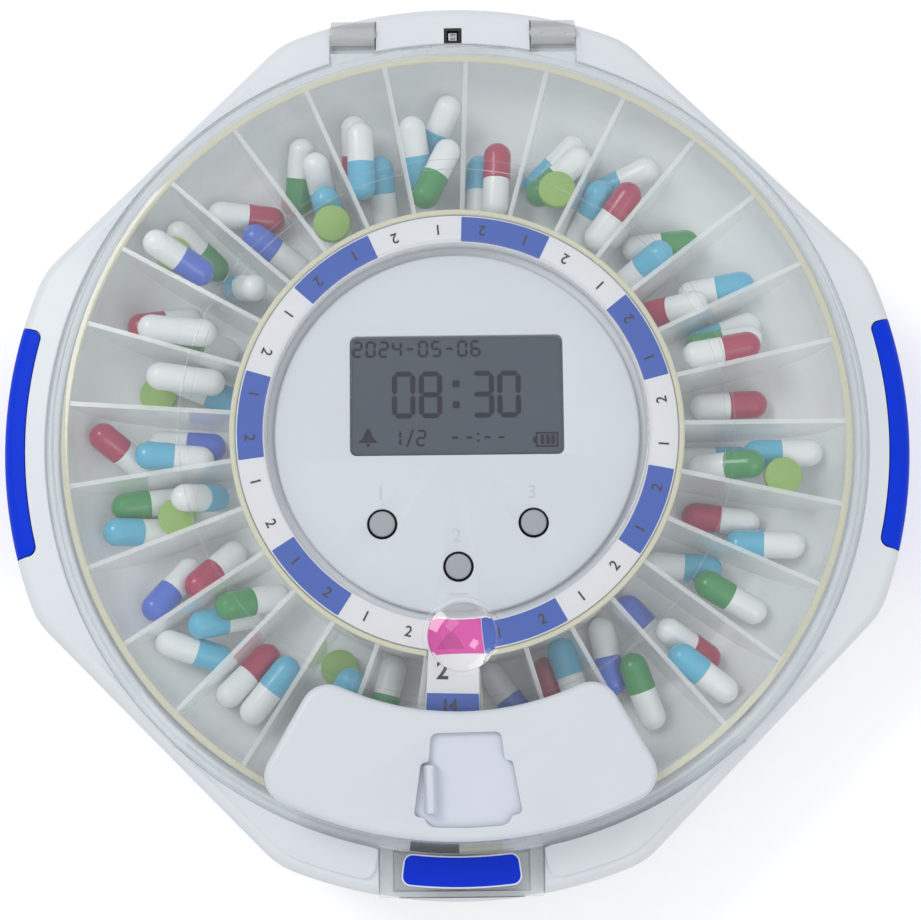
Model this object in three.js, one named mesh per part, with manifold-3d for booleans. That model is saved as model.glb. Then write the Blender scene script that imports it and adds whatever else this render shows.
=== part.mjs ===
// Electronic pill box: a round automatic dispenser with 28 pockets, in millimetres, +Z up.
// The origin lies on the tray axis, at the plane that the rubber feet stand on.
// +X is the right-hand side and -Y the front, where the latch and the dispensing cover are.
import * as THREE from 'three';
import Module from 'manifold-3d';
import { mergeVertices } from 'three/addons/utils/BufferGeometryUtils.js';

const wasm = await Module();
wasm.setup();

// General clearances and walls
const GAP = 0.3;
const SIDE_GAP = 0.4;
const OVERRUN = 1.5;
const HOUSING_WALL = 2.6;
const FLOOR_WALL = 2.0;

// Housing outline: a circle cut by four diagonal flats, with rounded corners
const BODY_RADIUS = 110.5;
const FLAT_DEPTH = 8.2;
const FLAT_DISTANCE = BODY_RADIUS - FLAT_DEPTH;
const CORNER_RADIUS = 18;
const ARC_STEPS = 5;
const CORNER_STEPS = 2;

// Housing heights
const FOOT_STAND = 1.2;
const PART_LINE = 26;
const SIDE_TOP = 34.6;
const EDGE_ROUND = 3.6;
const SHOULDER_RISE = 2.0;
const PAD_RISE = 0.7;
const PAD_INSET = 3.2;
const PAD_CORNER = 2.4;
const BOTTOM_INSET = 13.5;
const SEAM_GAP = 0.3;

// Tray well, centre tower and lid seat
const LIP_WIDTH = 11.9;
const SEAT_RADIUS = BODY_RADIUS - LIP_WIDTH;
const SEAT_DEPTH = 1.2;
const SEAT_WIDTH = 3.2;
const WELL_RADIUS = SEAT_RADIUS - SEAT_WIDTH;
const WELL_WALL = 2.0;
const WELL_FLOOR = 21.6;
const WELL_FLOOR_WALL = 1.8;
const TOWER_RADIUS = 45.3;
const TOWER_WALL = 2.4;
const TOWER_TOP = 43.4;

// Tray
const POCKETS = 29;
const TRAY_REST_TURN = -1.94;
const TRAY_WALL = 1.3;
const TRAY_INNER_RADIUS = 52.3;
const TRAY_CLEARANCE = 1.5;
const TRAY_RIM_RADIUS = WELL_RADIUS - TRAY_CLEARANCE;
const TRAY_RIM_WIDTH = 1.7;
const TRAY_INNER_TOP = 48.9;
const TRAY_OUTER_TOP = 44.6;
const POCKET_FLAT_WIDTH = 19.7;
const POCKET_FLAT_RADIUS = TRAY_INNER_RADIUS + POCKET_FLAT_WIDTH;
const DIVIDER_WALL = 1.1;
const TRAY_FACETS_PER_POCKET = 1;
const SCOOP_STEPS = 3;
const LEDGE_TOP = 45.1;
const LEDGE_WIDTH = 2.6;
const LEDGE_WALL = 1.2;
const HOME_PLATE_TOP = 44.2;
const HOME_PLATE_WALL = 1.2;
const HOME_DRAIN_SHARES = [0.35, 0.9];

// Tray drive
const RING_TEETH = 58;
const PINION_TEETH = 8;
const WHEEL_TEETH = 24;
const MOTOR_TEETH = 8;
const RING_MODULE = 1.74;
const WHEEL_MODULE = 1.0;
const ADDENDUM_SHARE = 0.72;
const DEDENDUM_SHARE = 1.1;
const TIP_WIDTH_SHARE = 0.22;
const ROOT_WIDTH_SHARE = 0.6;
const RING_FACE = 5;
const WHEEL_FACE = 3;
const WHEEL_BOTTOM = 13.5;
const GEAR_PIN_RADIUS = 1.2;
const GEAR_HUB_RADIUS = 2.9;
const MOTOR_RADIUS = 7.8;
const MOTOR_HEIGHT = 13;
const MOTOR_SHAFT_RADIUS = 0.8;
const MOTOR_FLAT_SHARE = 0.8;

// Dose ring
const DOSE_CLEARANCE = 0.9;
const DOSE_WIDTH = 5;
const DOSE_OUTER_RADIUS = TRAY_INNER_RADIUS - DOSE_CLEARANCE;
const DOSE_INNER_RADIUS = DOSE_OUTER_RADIUS - DOSE_WIDTH;
const DOSE_TOP = 48.6;
const DOSE_FACETS_PER_POCKET = 2;
const DOSE_WALL = 1.0;
const DOSE_LIP_WIDTH = 1.2;
const TAB_INNER_WIDTH = 11.6;
const TAB_OUTER_WIDTH = 12.6;

// Hub cap, display and buttons
const HUB_RADIUS = 43.4;
const HUB_TOP = 45.2;
const HUB_WALL = 2.4;
const HUB_EDGE = 0.8;
const HUB_SKIRT_DEPTH = 4;
const HUB_SKIRT_WALL = 1.4;
const DISPLAY_WIDTH = 50.8;
const DISPLAY_HEIGHT = 29;
const DISPLAY_Y = 9;
const DISPLAY_CORNER = 1.6;
const DISPLAY_LEDGE = 1.2;
const WINDOW_WALL = 1.0;
const WINDOW_SINK = 0.3;
const MODULE_WIDTH = 58;
const MODULE_HEIGHT = 37;
const BUTTON_RADIUS = 3.0;
const BUTTON_RING = 0.6;
const BUTTON_PROUD = 0.8;
const BUTTON_FLANGE_RADIUS = 4.3;
const BUTTON_FLANGE_WALL = 0.8;
const BUTTON_TRAVEL = 0.8;
const BUTTON_SIDE_X = 17.8;
const BUTTON_SIDE_Y = -21.8;
const BUTTON_MIDDLE_Y = -32;

// Main board and what is on it
const BOARD_RADIUS = 38;
const BOARD_WALL = 1.6;
const BOARD_TOP = 38.2;
const POST_RADIUS = 2.6;
const POST_CIRCLE = 34.5;
const SWITCH_SIZE = 6;
const SWITCH_BODY = 1.9;
const SWITCH_STEM_RADIUS = 1.6;
const BUZZER_RADIUS = 6;
const BUZZER_HEIGHT = 5;
const BUZZER_PLACE_SHARES = [-0.5, -0.2];
const SCREW_HEAD_RADIUS = 2.4;
const SCREW_HEAD_HEIGHT = 1.5;
const SCREW_SHANK_RADIUS = 1.1;
const SCREW_BITE = 3.2;

// Home sensor, which sees a notch in the inner wall of the tray
const SENSOR_DEPTH = 3.6;
const SENSOR_LENGTH = 11;
const SENSOR_HEIGHT = 6.5;
const SENSOR_BOTTOM = 30;
const SENSOR_EYE_RADIUS = 1.5;
const SENSOR_EYE_PROUD = 0.8;
const HOME_NOTCH_HALF_WIDTH = 2.2;

// Cells, their contacts and the battery door
const CELL_RADIUS = 7.25;
const CELL_LENGTH = 49;
const CELL_NIPPLE_RADIUS = 2.7;
const CELL_NIPPLE_LENGTH = 1.5;
const CELLS = 4;
const CELL_SPACING = 15;
const CONTACT_ROOM = 3.4;
const CONTACT_WALL = 0.5;
const CONTACT_WIRE_RADIUS = 0.4;
const CONTACT_TURNS = 2.5;
const CONTACT_RADIUS_SHARES = [0.33, 0.7];
const BAY_INSET = 75.5;
const BAY_CENTRE_X = BAY_INSET - BODY_RADIUS;
const BAY_WALL = 2.6;
const BAY_ROOF_WALL = 1.1;
const BAY_PAD_WALL = 1.3;
const DOOR_WALL = 1.9;
const DOOR_LIP = 2;
const DOOR_TRAVEL = 6;
const DOOR_TONGUE = 4;
const DOOR_TONGUE_WALL = 0.9;
const DOOR_TONGUE_HALF_WIDTH = 14;
const DOOR_RIBS = 5;
const DOOR_RIB_WIDTH = 1.2;
const DOOR_RIB_PITCH = 2.6;
const DOOR_RIB_LENGTH = 18;
const THUMB_RADIUS = 8;

// Feet and housing screws
const FEET = 4;
const FOOT_RADIUS = 6.5;
const FOOT_EDGE = 0.6;
const FOOT_SINK = 0.6;
const FOOT_INSET = 26.5;
const FOOT_CIRCLE = BODY_RADIUS - FOOT_INSET;
const HOUSING_SCREWS = 4;
const SCREW_INSET = 24.5;
const SCREW_CIRCLE = BODY_RADIUS - SCREW_INSET;
const SCREW_POST_RADIUS = 4.4;
const SCREW_SPLIT = 13;
const SCREW_HEAD_SINK = 6;

// Side grips
const GRIP_HALF_LENGTH = 28.6;
const GRIP_WALL = 1.3;
const GRIP_TOP_WIDTH = 5.4;
const GRIP_BOTTOM = 9;
const GRIP_CORNER = 2.2;

// Lid
const LID_WALL = 1.8;
const LID_CLEARANCE = 0.7;
const LID_RADIUS = SEAT_RADIUS - LID_CLEARANCE;
const LID_FLANGE_WALL = 2.0;
const LID_FLANGE_WIDTH = 1.1;
const LID_SHOULDER_WIDTH = 5.5;
const LID_SKIRT_RADIUS = LID_RADIUS - LID_FLANGE_WIDTH;
const LID_CORNER_RADIUS = LID_RADIUS - LID_SHOULDER_WIDTH;
const LID_CORNER_DROP = 3.0;
const LID_SKIRT_SHARE = 0.8;
const LID_ROUND_SHARES = [0.5, 0.3, 0.2];
const LID_EDGE_Z = 51.0;
const LID_STEP_SHARE = 0.3117;
const LID_STEP_RADIUS = TRAY_INNER_RADIUS + (LID_CORNER_RADIUS - TRAY_INNER_RADIUS) * LID_STEP_SHARE;
const LID_STEP_Z = 51.8;
const LID_TOP = 53.2;
const LID_HOLE_RADIUS = 44.2;
const COLLAR_WALL = 1.4;
const COLLAR_BOTTOM = 46.1;
const LID_FACETS = 48;

// Lens in the lid
const LENS_Y = -49.1;
const LENS_BOSS_RADIUS = 9.2;
const LENS_RADIUS = 8.0;
const LENS_LEDGE = 1.0;
const LENS_RIM = 1.3;
const LENS_CROWN = 1.4;
const LENS_BOSS_PROUD = 0.8;

// Dispensing cover and shutter
const COVER_STEP = 1.2;
const COVER_OVERHANG = 1.8;
const COVER_INNER_RADIUS = LID_STEP_RADIUS + COVER_STEP;
const COVER_OUTER_RADIUS = LID_CORNER_RADIUS + COVER_OVERHANG;
const COVER_HALF_ANGLE = 29.6;
const COVER_CORNER_SHARE = 0.2128;
const COVER_CORNER = (COVER_OUTER_RADIUS - COVER_INNER_RADIUS) * COVER_CORNER_SHARE;
const COVER_WALL = 1.2;
const COVER_SIDE_WALL = 1.8;
const COVER_SIDE_SHARE = 1.2;
const SHUTTER_REST_TURN = 1.05;
const SHUTTER_WALL = 1.2;
const SHUTTER_INNER_INSET = 3.4;
const SHUTTER_OUTER_INSET = 2.3;
const SHUTTER_INNER_RADIUS = COVER_INNER_RADIUS + SHUTTER_INNER_INSET;
const SHUTTER_OUTER_RADIUS = COVER_OUTER_RADIUS - SHUTTER_OUTER_INSET;
const SHUTTER_HALF_ANGLE = 8.6;
const APERTURE_INSET = 2.0;
const APERTURE_INNER_RADIUS = SHUTTER_INNER_RADIUS + APERTURE_INSET;
const APERTURE_OUTER_RADIUS = SHUTTER_OUTER_RADIUS - APERTURE_INSET - GAP;
const APERTURE_HALF_ANGLE = 4.9;
const DOORWAY_INNER_RADIUS = APERTURE_INNER_RADIUS;
const DOORWAY_OUTER_RADIUS = SHUTTER_OUTER_RADIUS - GAP;
const DOORWAY_HALF_WIDTH = 8.3;
const DOORWAY_SPREAD = 1.4;
const EAR_SHARES = [0.297, 0.866];
const [EAR_INNER_RADIUS, EAR_OUTER_RADIUS] = EAR_SHARES.map(
  (share) => DOORWAY_INNER_RADIUS + (DOORWAY_OUTER_RADIUS - DOORWAY_INNER_RADIUS) * share);
const EAR_WIDTH = 2.6;
const THUMB_RIDGE_OFFSET = -7.4;
const THUMB_RIDGE_WIDTH = 3.2;
const THUMB_RIDGE_TIP = 1.4;
const THUMB_RIDGE_PROUD = 2.2;
const THUMB_RIDGE_LENGTH_SHARE = 0.94;
const THUMB_RIDGE_LENGTH = (EAR_OUTER_RADIUS - EAR_INNER_RADIUS) * THUMB_RIDGE_LENGTH_SHARE;
const THUMB_RIDGE_RADIUS = (EAR_INNER_RADIUS + EAR_OUTER_RADIUS) / 2;

// Hinge at the back
const HINGE_INSET = 8.8;
const HINGE_Y = BODY_RADIUS - HINGE_INSET;
const HINGE_Z = 38.2;
const HINGE_X = 24.8;
const LUG_WIDTH = 10.8;
const LUG_EYE_RADIUS = 3.3;
const LUG_SLOPE = 6.4;
const LUG_HEEL_SHARE = 1.4;
const LUG_BROW_SHARE = 1.2;
const LUG_NECK_SHARE = 0.9;
const LUG_EYE_TURN_SHARE = 0.6;
const PIN_RADIUS = 1.4;
const PIN_GRIP = 2.8;
const HINGE_BLOCK_WALL = 2.2;

// Latch at the front
const LATCH_HALF_WIDTH = 19.3;
const LATCH_LIP = 2.2;
const LATCH_BACK_CLEARANCE = 0.2;
const LATCH_FRONT_Y = LATCH_LIP - BODY_RADIUS;
const LATCH_BACK_RADIUS = SEAT_RADIUS - LATCH_BACK_CLEARANCE;
const LATCH_FLOOR = 30.5;
const LATCH_BLOCK_WALL = 2.0;
const FRAME_POST = 3.0;
const FRAME_BAR = 1.2;
const FRAME_HEIGHT = 3.4;
const LATCH_TOP = 40.4;
const LATCH_WALL = 2.2;
const LATCH_STEM_RADIUS = 2.0;
const LATCH_STEM_BOTTOM = 29.6;
const LATCH_SPRING_RADIUS = 3.0;
const LATCH_SPRING_WIRE = 0.4;
const LATCH_SPRING_TURNS = 4;
const PLATE_HALF_WIDTH = 13.3;
const PLATE_INNER_RADIUS = SEAT_RADIUS + GAP;
const PLATE_DEPTH = 6.9;
const PLATE_WALL = 0.8;
const PLATE_CORNER = 2.2;

// Socket at the back, between the hinge lugs
const SOCKET_WIDTH = 4.4;
const SOCKET_DEPTH = 4.4;
const SOCKET_INSET = 9.6;
const SOCKET_Y = BODY_RADIUS - SOCKET_INSET;
const SOCKET_BOTTOM = 35.4;
const SOCKET_LINER = 0.5;
const SOCKET_SHELL_WALL = 0.35;

// Facets of small round pieces
const FINE_FACETS = 24;
const SMALL_FACETS = 14;
const TINY_FACETS = 8;
const WIRE_SIDES = 4;
const WIRE_STEPS_PER_TURN = 6;

// Heights and places worked out from the sizes above
const EDGE_TOP = SIDE_TOP + EDGE_ROUND;
const SHOULDER_TOP = EDGE_TOP + SHOULDER_RISE;
const SEAT_Z = SHOULDER_TOP - SEAT_DEPTH;
const WELL_UNDERSIDE = WELL_FLOOR - WELL_FLOOR_WALL;
const FLOOR_TOP = FOOT_STAND + FLOOR_WALL;
const TRAY_BOTTOM = WELL_FLOOR + GAP;
const RING_PITCH_RADIUS = RING_MODULE * RING_TEETH / 2;
const PINION_PITCH_RADIUS = RING_MODULE * PINION_TEETH / 2;
const WHEEL_PITCH_RADIUS = WHEEL_MODULE * WHEEL_TEETH / 2;
const MOTOR_PITCH_RADIUS = WHEEL_MODULE * MOTOR_TEETH / 2;
const DRIVE_X = RING_PITCH_RADIUS - PINION_PITCH_RADIUS;
const MOTOR_X = DRIVE_X - WHEEL_PITCH_RADIUS - MOTOR_PITCH_RADIUS;
const PINION_TIP_RADIUS = PINION_PITCH_RADIUS + RING_MODULE * ADDENDUM_SHARE;
const WHEEL_TIP_RADIUS = WHEEL_PITCH_RADIUS + WHEEL_MODULE * ADDENDUM_SHARE;
const HUB_UNDERSIDE = HUB_TOP - HUB_WALL;
const DOOR_TOP = FOOT_STAND + DOOR_WALL;
const CELL_Z = FLOOR_TOP + GAP + CELL_RADIUS;
const BAY_LENGTH = CELL_LENGTH + CELL_NIPPLE_LENGTH + 2 * CONTACT_ROOM;
const BAY_WIDTH = CELLS * CELL_SPACING + GAP;
const BAY_ROOF = CELL_Z + CELL_RADIUS + GAP;
const LID_BOTTOM = SEAT_Z + GAP;
const TAB_END_RADIUS = COVER_INNER_RADIUS + GAP;
const COVER_TOP = LID_STEP_Z + GAP + SHUTTER_WALL + GAP + COVER_WALL;
const SHUTTER_BOTTOM = LID_STEP_Z + GAP;

const rad = THREE.MathUtils.degToRad;
const FRONT = -Math.PI / 2;
const TURN = 2 * Math.PI;

// Joining and cutting

function toSolid(geometry) {
  const bare = (geometry.index ? geometry.toNonIndexed() : geometry.clone());
  for (const name of Object.keys(bare.attributes)) {
    if (name !== 'position') bare.deleteAttribute(name);
  }
  const merged = mergeVertices(bare, GAP / 1000);
  const triVerts = [];
  const index = merged.index.array;
  for (let i = 0; i < index.length; i += 3) {
    const [a, b, c] = [index[i], index[i + 1], index[i + 2]];
    if (a !== b && b !== c && c !== a) triVerts.push(a, b, c);
  }
  const build = (order) => new wasm.Manifold(new wasm.Mesh({
    numProp: 3,
    vertProperties: merged.attributes.position.array,
    triVerts: new Uint32Array(order),
  }));
  const solid = build(triVerts);
  return solid.volume() < 0 ? build(triVerts.reverse()) : solid;
}

function toGeometry(solid) {
  const { vertProperties, triVerts } = solid.getMesh();
  const geometry = new THREE.BufferGeometry();
  geometry.setAttribute('position', new THREE.BufferAttribute(new Float32Array(vertProperties), 3));
  geometry.setIndex(new THREE.BufferAttribute(new Uint32Array(triVerts), 1));
  const flat = geometry.toNonIndexed();
  flat.computeVertexNormals();
  return flat;
}

const joined = (solids) => solids.reduce((all, next) => all.add(next));
const cutBy = (solid, tools) => tools.reduce((rest, tool) => rest.subtract(tool), solid);

// Basic solids, each placed by its named sizes

function block(x0, x1, y0, y1, z0, z1) {
  const geometry = new THREE.BoxGeometry(x1 - x0, y1 - y0, z1 - z0);
  geometry.translate((x0 + x1) / 2, (y0 + y1) / 2, (z0 + z1) / 2);
  return toSolid(geometry);
}

function disc(radius, z0, z1, x = 0, y = 0, facets = SMALL_FACETS) {
  const geometry = new THREE.CylinderGeometry(radius, radius, z1 - z0, facets);
  geometry.rotateX(Math.PI / 2);
  geometry.translate(x, y, (z0 + z1) / 2);
  return toSolid(geometry);
}

function rodAlongX(radius, x0, x1, y, z, facets = SMALL_FACETS) {
  const geometry = new THREE.CylinderGeometry(radius, radius, x1 - x0, facets);
  geometry.rotateZ(Math.PI / 2);
  geometry.translate((x0 + x1) / 2, y, z);
  return toSolid(geometry);
}

function prism(shape, z0, z1) {
  const depth = z1 - z0;
  const geometry = new THREE.ExtrudeGeometry(shape, { depth, bevelEnabled: false, curveSegments: 4 });
  geometry.translate(0, 0, z0);
  return toSolid(geometry);
}

function revolve(profile, facets) {
  const points = profile.map(([r, z]) => new THREE.Vector2(r, z));
  if (profile[0][0] > 0) points.push(points[0].clone());
  const geometry = new THREE.LatheGeometry(points, facets);
  geometry.rotateX(Math.PI / 2);
  return toSolid(geometry);
}

function roundedRectangle(x0, x1, y0, y1, radius) {
  const shape = new THREE.Shape();
  shape.moveTo(x0 + radius, y0);
  shape.lineTo(x1 - radius, y0);
  shape.absarc(x1 - radius, y0 + radius, radius, FRONT, 0, false);
  shape.lineTo(x1, y1 - radius);
  shape.absarc(x1 - radius, y1 - radius, radius, 0, Math.PI / 2, false);
  shape.lineTo(x0 + radius, y1);
  shape.absarc(x0 + radius, y1 - radius, radius, Math.PI / 2, Math.PI, false);
  shape.lineTo(x0, y0 + radius);
  shape.absarc(x0 + radius, y0 + radius, radius, Math.PI, 3 * Math.PI / 2, false);
  return shape;
}

// A sector between two radii, about the front direction, from one angle to another
function sectorShape(r0, r1, from, to, steps = 8) {
  const shape = new THREE.Shape();
  const point = (r, a) => [r * Math.cos(FRONT + a), r * Math.sin(FRONT + a)];
  for (let i = 0; i <= steps; i++) {
    const [x, y] = point(r1, from + (to - from) * i / steps);
    if (i === 0) shape.moveTo(x, y);
    else shape.lineTo(x, y);
  }
  for (let i = steps; i >= 0; i--) shape.lineTo(...point(r0, from + (to - from) * i / steps));
  return shape;
}

// A sector whose four corners are rounded, worked out as straight sides and tangent arcs
function roundedSectorShape(r0, r1, half, corner, steps = 8) {
  const shape = new THREE.Shape();
  const place = (r, a) => [r * Math.cos(FRONT + a), r * Math.sin(FRONT + a)];
  const outerTurn = Math.asin(corner / (r1 - corner));
  const innerTurn = Math.asin(corner / (r0 + corner));
  const corners = [
    [r1 - corner, half - outerTurn, 0],
    [r0 + corner, half - innerTurn, Math.PI / 2],
    [r0 + corner, innerTurn - half, Math.PI],
    [r1 - corner, outerTurn - half, 3 * Math.PI / 2],
  ];
  const arcTo = (r, from, to) => {
    for (let i = 0; i <= steps; i++) shape.lineTo(...place(r, from + (to - from) * i / steps));
  };
  shape.moveTo(...place(r1, outerTurn - half));
  corners.forEach(([r, a, start], k) => {
    if (k === 0) arcTo(r1, outerTurn - half, half - outerTurn);
    if (k === 2) arcTo(r0, half - innerTurn, innerTurn - half);
    const [cx, cy] = place(r, a);
    const sweep = k === 0 || k === 3 ? Math.PI / 2 + outerTurn : Math.PI / 2 - innerTurn;
    const first = FRONT + a + start + (k === 1 ? innerTurn : 0) + (k === 3 ? -outerTurn : 0);
    for (let i = 0; i <= 4; i++) {
      const t = first + sweep * i / 4;
      shape.lineTo(cx + corner * Math.cos(t), cy + corner * Math.sin(t));
    }
  });
  return shape;
}

// The housing outline as a radius at each angle

function outlineRadius(angle, inset = 0) {
  const fold = Math.abs(((angle % (Math.PI / 2)) + Math.PI / 2) % (Math.PI / 2) - Math.PI / 4);
  const u = FLAT_DISTANCE - CORNER_RADIUS;
  const v = Math.sqrt((BODY_RADIUS - CORNER_RADIUS) ** 2 - u ** 2);
  const flat = FLAT_DISTANCE - inset;
  const corner = CORNER_RADIUS - inset;
  if (fold <= Math.atan2(v, flat)) return flat / Math.cos(fold);
  if (fold >= Math.atan2(v, u)) return BODY_RADIUS - inset;
  const along = u * Math.cos(fold) + v * Math.sin(fold);
  return along + Math.sqrt(along ** 2 - u ** 2 - v ** 2 + corner ** 2);
}

function outlineAngles() {
  const u = FLAT_DISTANCE - CORNER_RADIUS;
  const v = Math.sqrt((BODY_RADIUS - CORNER_RADIUS) ** 2 - u ** 2);
  const flatEnd = Math.atan2(v, FLAT_DISTANCE);
  const cornerEnd = Math.atan2(v, u);
  const angles = [];
  const spread = (from, to, steps) => {
    for (let i = 0; i < steps; i++) angles.push(from + (to - from) * i / steps);
  };
  for (let quadrant = 0; quadrant < 4; quadrant++) {
    const diagonal = Math.PI / 4 + quadrant * Math.PI / 2;
    spread(diagonal - cornerEnd, diagonal - flatEnd, CORNER_STEPS);
    spread(diagonal - flatEnd, diagonal + flatEnd, ARC_STEPS);
    spread(diagonal + flatEnd, diagonal + cornerEnd, CORNER_STEPS);
    spread(diagonal + cornerEnd, diagonal + Math.PI / 2 - cornerEnd, ARC_STEPS);
  }
  return angles;
}

// A closed profile of [radius, height] points carried round the axis; the profile may change with the angle
function polarLoft(profileAt) {
  const angles = outlineAngles();
  const rings = angles.map((angle) => profileAt(angle).map(([r, z]) => [
    r * Math.cos(angle), r * Math.sin(angle), z]));
  const positions = [];
  const count = rings[0].length;
  rings.forEach((ring, i) => {
    const next = rings[(i + 1) % rings.length];
    for (let j = 0; j < count; j++) {
      const k = (j + 1) % count;
      positions.push(...ring[j], ...next[j], ...next[k], ...ring[j], ...next[k], ...ring[k]);
    }
  });
  const geometry = new THREE.BufferGeometry();
  geometry.setAttribute('position', new THREE.Float32BufferAttribute(positions, 3));
  return toSolid(geometry);
}

// The lower side of the housing as a quarter ellipse, drawn in by the wall
function bowlProfile(angle, inset, steps = 3) {
  const points = [];
  for (let i = 0; i <= steps; i++) {
    const t = Math.PI / 2 * i / steps;
    const rise = PART_LINE - FOOT_STAND - Math.min(inset, FLOOR_WALL);
    points.push([
      outlineRadius(angle, inset + BOTTOM_INSET * (1 - Math.sin(t))),
      PART_LINE - rise * Math.cos(t),
    ]);
  }
  return points;
}

// The upper side: straight wall, rounded edge, then the shoulder up to the lid seat
function shoulderProfile(angle, inset, steps = 2) {
  const points = [];
  for (let i = 0; i <= steps; i++) {
    const t = Math.PI / 2 * i / steps;
    points.push([
      outlineRadius(angle, inset + EDGE_ROUND * (1 - Math.cos(t))),
      SIDE_TOP + EDGE_ROUND * Math.sin(t) - inset,
    ]);
  }
  points.push([SEAT_RADIUS, SHOULDER_TOP - inset]);
  return points;
}

// The whole outer form of the housing, filled, drawn in by an inset
function housingForm(inset) {
  return polarLoft((angle) => [
    [0, FOOT_STAND + inset],
    ...bowlProfile(angle, inset),
    ...shoulderProfile(angle, inset),
    [0, SHOULDER_TOP - inset],
  ]);
}

// Gears: straight-sided teeth on a root circle, which is the larger one on an inner ring

function gearShape(teeth, module, phase, inner = false) {
  const pitch = TURN / teeth;
  const side = inner ? -1 : 1;
  const tip = module * teeth / 2 + side * module * ADDENDUM_SHARE;
  const root = module * teeth / 2 - side * module * DEDENDUM_SHARE;
  const shape = new THREE.Shape();
  for (let i = 0; i < teeth; i++) {
    const middle = phase + i * pitch;
    const corners = [
      [root, -ROOT_WIDTH_SHARE], [tip, -TIP_WIDTH_SHARE],
      [tip, TIP_WIDTH_SHARE], [root, ROOT_WIDTH_SHARE],
    ];
    corners.forEach(([r, share], k) => {
      const a = middle + share * pitch / 2;
      if (i === 0 && k === 0) shape.moveTo(r * Math.cos(a), r * Math.sin(a));
      else shape.lineTo(r * Math.cos(a), r * Math.sin(a));
    });
  }
  return shape;
}

// A wire bent into a helix about Z, between two heights, with radii that may taper
function coil(radius0, radius1, z0, z1, turns, wire) {
  class Helix extends THREE.Curve {
    getPoint(t, target = new THREE.Vector3()) {
      const a = TURN * turns * t;
      const r = radius0 + (radius1 - radius0) * t;
      return target.set(r * Math.cos(a), r * Math.sin(a), z0 + wire + (z1 - z0 - 2 * wire) * t);
    }
  }
  const section = new THREE.Shape();
  for (let i = 0; i < WIRE_SIDES; i++) {
    const a = TURN * i / WIRE_SIDES;
    if (i === 0) section.moveTo(wire * Math.cos(a), wire * Math.sin(a));
    else section.lineTo(wire * Math.cos(a), wire * Math.sin(a));
  }
  return toSolid(new THREE.ExtrudeGeometry(section, {
    steps: Math.round(turns * WIRE_STEPS_PER_TURN), extrudePath: new Helix(), bevelEnabled: false,
  }));
}

// Finishes: colour, roughness and metalness
const finish = {
  white: [0xe2e7ec, 0.42, 0],
  hubWhite: [0xd6dbe2, 0.4, 0],
  blue: [0x0a37c8, 0.38, 0],
  clear: [0xdfe6e6, 0.08, 0],
  frosted: [0xe6e6d6, 0.3, 0],
  doseWhite: [0xf2f2f4, 0.5, 0],
  buttonGrey: [0xa5acaf, 0.5, 0],
  display: [0x626c73, 0.25, 0],
  board: [0x1f5a3c, 0.5, 0],
  black: [0x17181a, 0.5, 0],
  steel: [0xb8bcc0, 0.3, 1],
  brass: [0xc8a45a, 0.35, 1],
  gearWhite: [0xe8e6df, 0.45, 0],
  cell: [0x3a3d42, 0.4, 0.4],
  rubber: [0x3a3c3e, 0.85, 0],
};

const box = new THREE.Group();

function addPiece(name, solid, look, parent = box) {
  const [color, roughness, metalness] = finish[look];
  const material = new THREE.MeshStandardMaterial({ color, roughness, metalness });
  const mesh = new THREE.Mesh(toGeometry(solid), material);
  mesh.name = name;
  parent.add(mesh);
  return mesh;
}

// Places shared by pieces that fit each other

const ringPlaces = (count, circle, firstTurn) => Array.from({ length: count }, (_, i) => {
  const a = firstTurn + TURN * i / count;
  return [circle * Math.cos(a), circle * Math.sin(a)];
});
const footPlaces = ringPlaces(FEET, FOOT_CIRCLE, Math.PI / 4);
const screwPlaces = ringPlaces(HOUSING_SCREWS, SCREW_CIRCLE, Math.PI / 6);
const postPlaces = ringPlaces(3, POST_CIRCLE, Math.PI / 2 + Math.PI / 18);
const buttonPlaces = [
  [-BUTTON_SIDE_X, BUTTON_SIDE_Y], [0, BUTTON_MIDDLE_Y], [BUTTON_SIDE_X, BUTTON_SIDE_Y]];

// Side grips: the skin of the housing between two insets, within a rounded bar

function gripBar(side, gap) {
  const inner = BODY_RADIUS - GRIP_TOP_WIDTH - gap;
  const half = (GRIP_HALF_LENGTH + gap) / BODY_RADIUS;
  const bar = roundedSectorShape(inner, BODY_RADIUS + OVERRUN + GRIP_CORNER, half, GRIP_CORNER);
  return prism(bar, GRIP_BOTTOM - gap, SHOULDER_TOP + OVERRUN).rotate([0, 0, side * 90]);
}

function gripPocket(side) {
  return gripBar(side, GAP).subtract(housingForm(GRIP_WALL + GAP));
}

function gripPiece(side) {
  return gripBar(side, 0).intersect(housingForm(0)).subtract(housingForm(GRIP_WALL));
}

// Lower housing: bowl, battery bay, screw posts, foot recesses and the gear pivot

function batteryBayWalls() {
  const [halfLength, halfWidth] = [BAY_LENGTH / 2, BAY_WIDTH / 2];
  const shell = block(
    BAY_CENTRE_X - halfLength - BAY_WALL, BAY_CENTRE_X + halfLength + BAY_WALL,
    -halfWidth - BAY_WALL, halfWidth + BAY_WALL, FOOT_STAND + FLOOR_WALL / 2, BAY_ROOF + BAY_ROOF_WALL);
  const slidePad = block(
    BAY_CENTRE_X - halfLength - DOOR_LIP - DOOR_TRAVEL - BAY_WALL,
    BAY_CENTRE_X + halfLength + DOOR_LIP + DOOR_TONGUE + BAY_WALL,
    -halfWidth - BAY_WALL, halfWidth + BAY_WALL, FOOT_STAND + FLOOR_WALL / 2, DOOR_TOP + GAP + BAY_PAD_WALL);
  return shell.add(slidePad);
}

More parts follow.
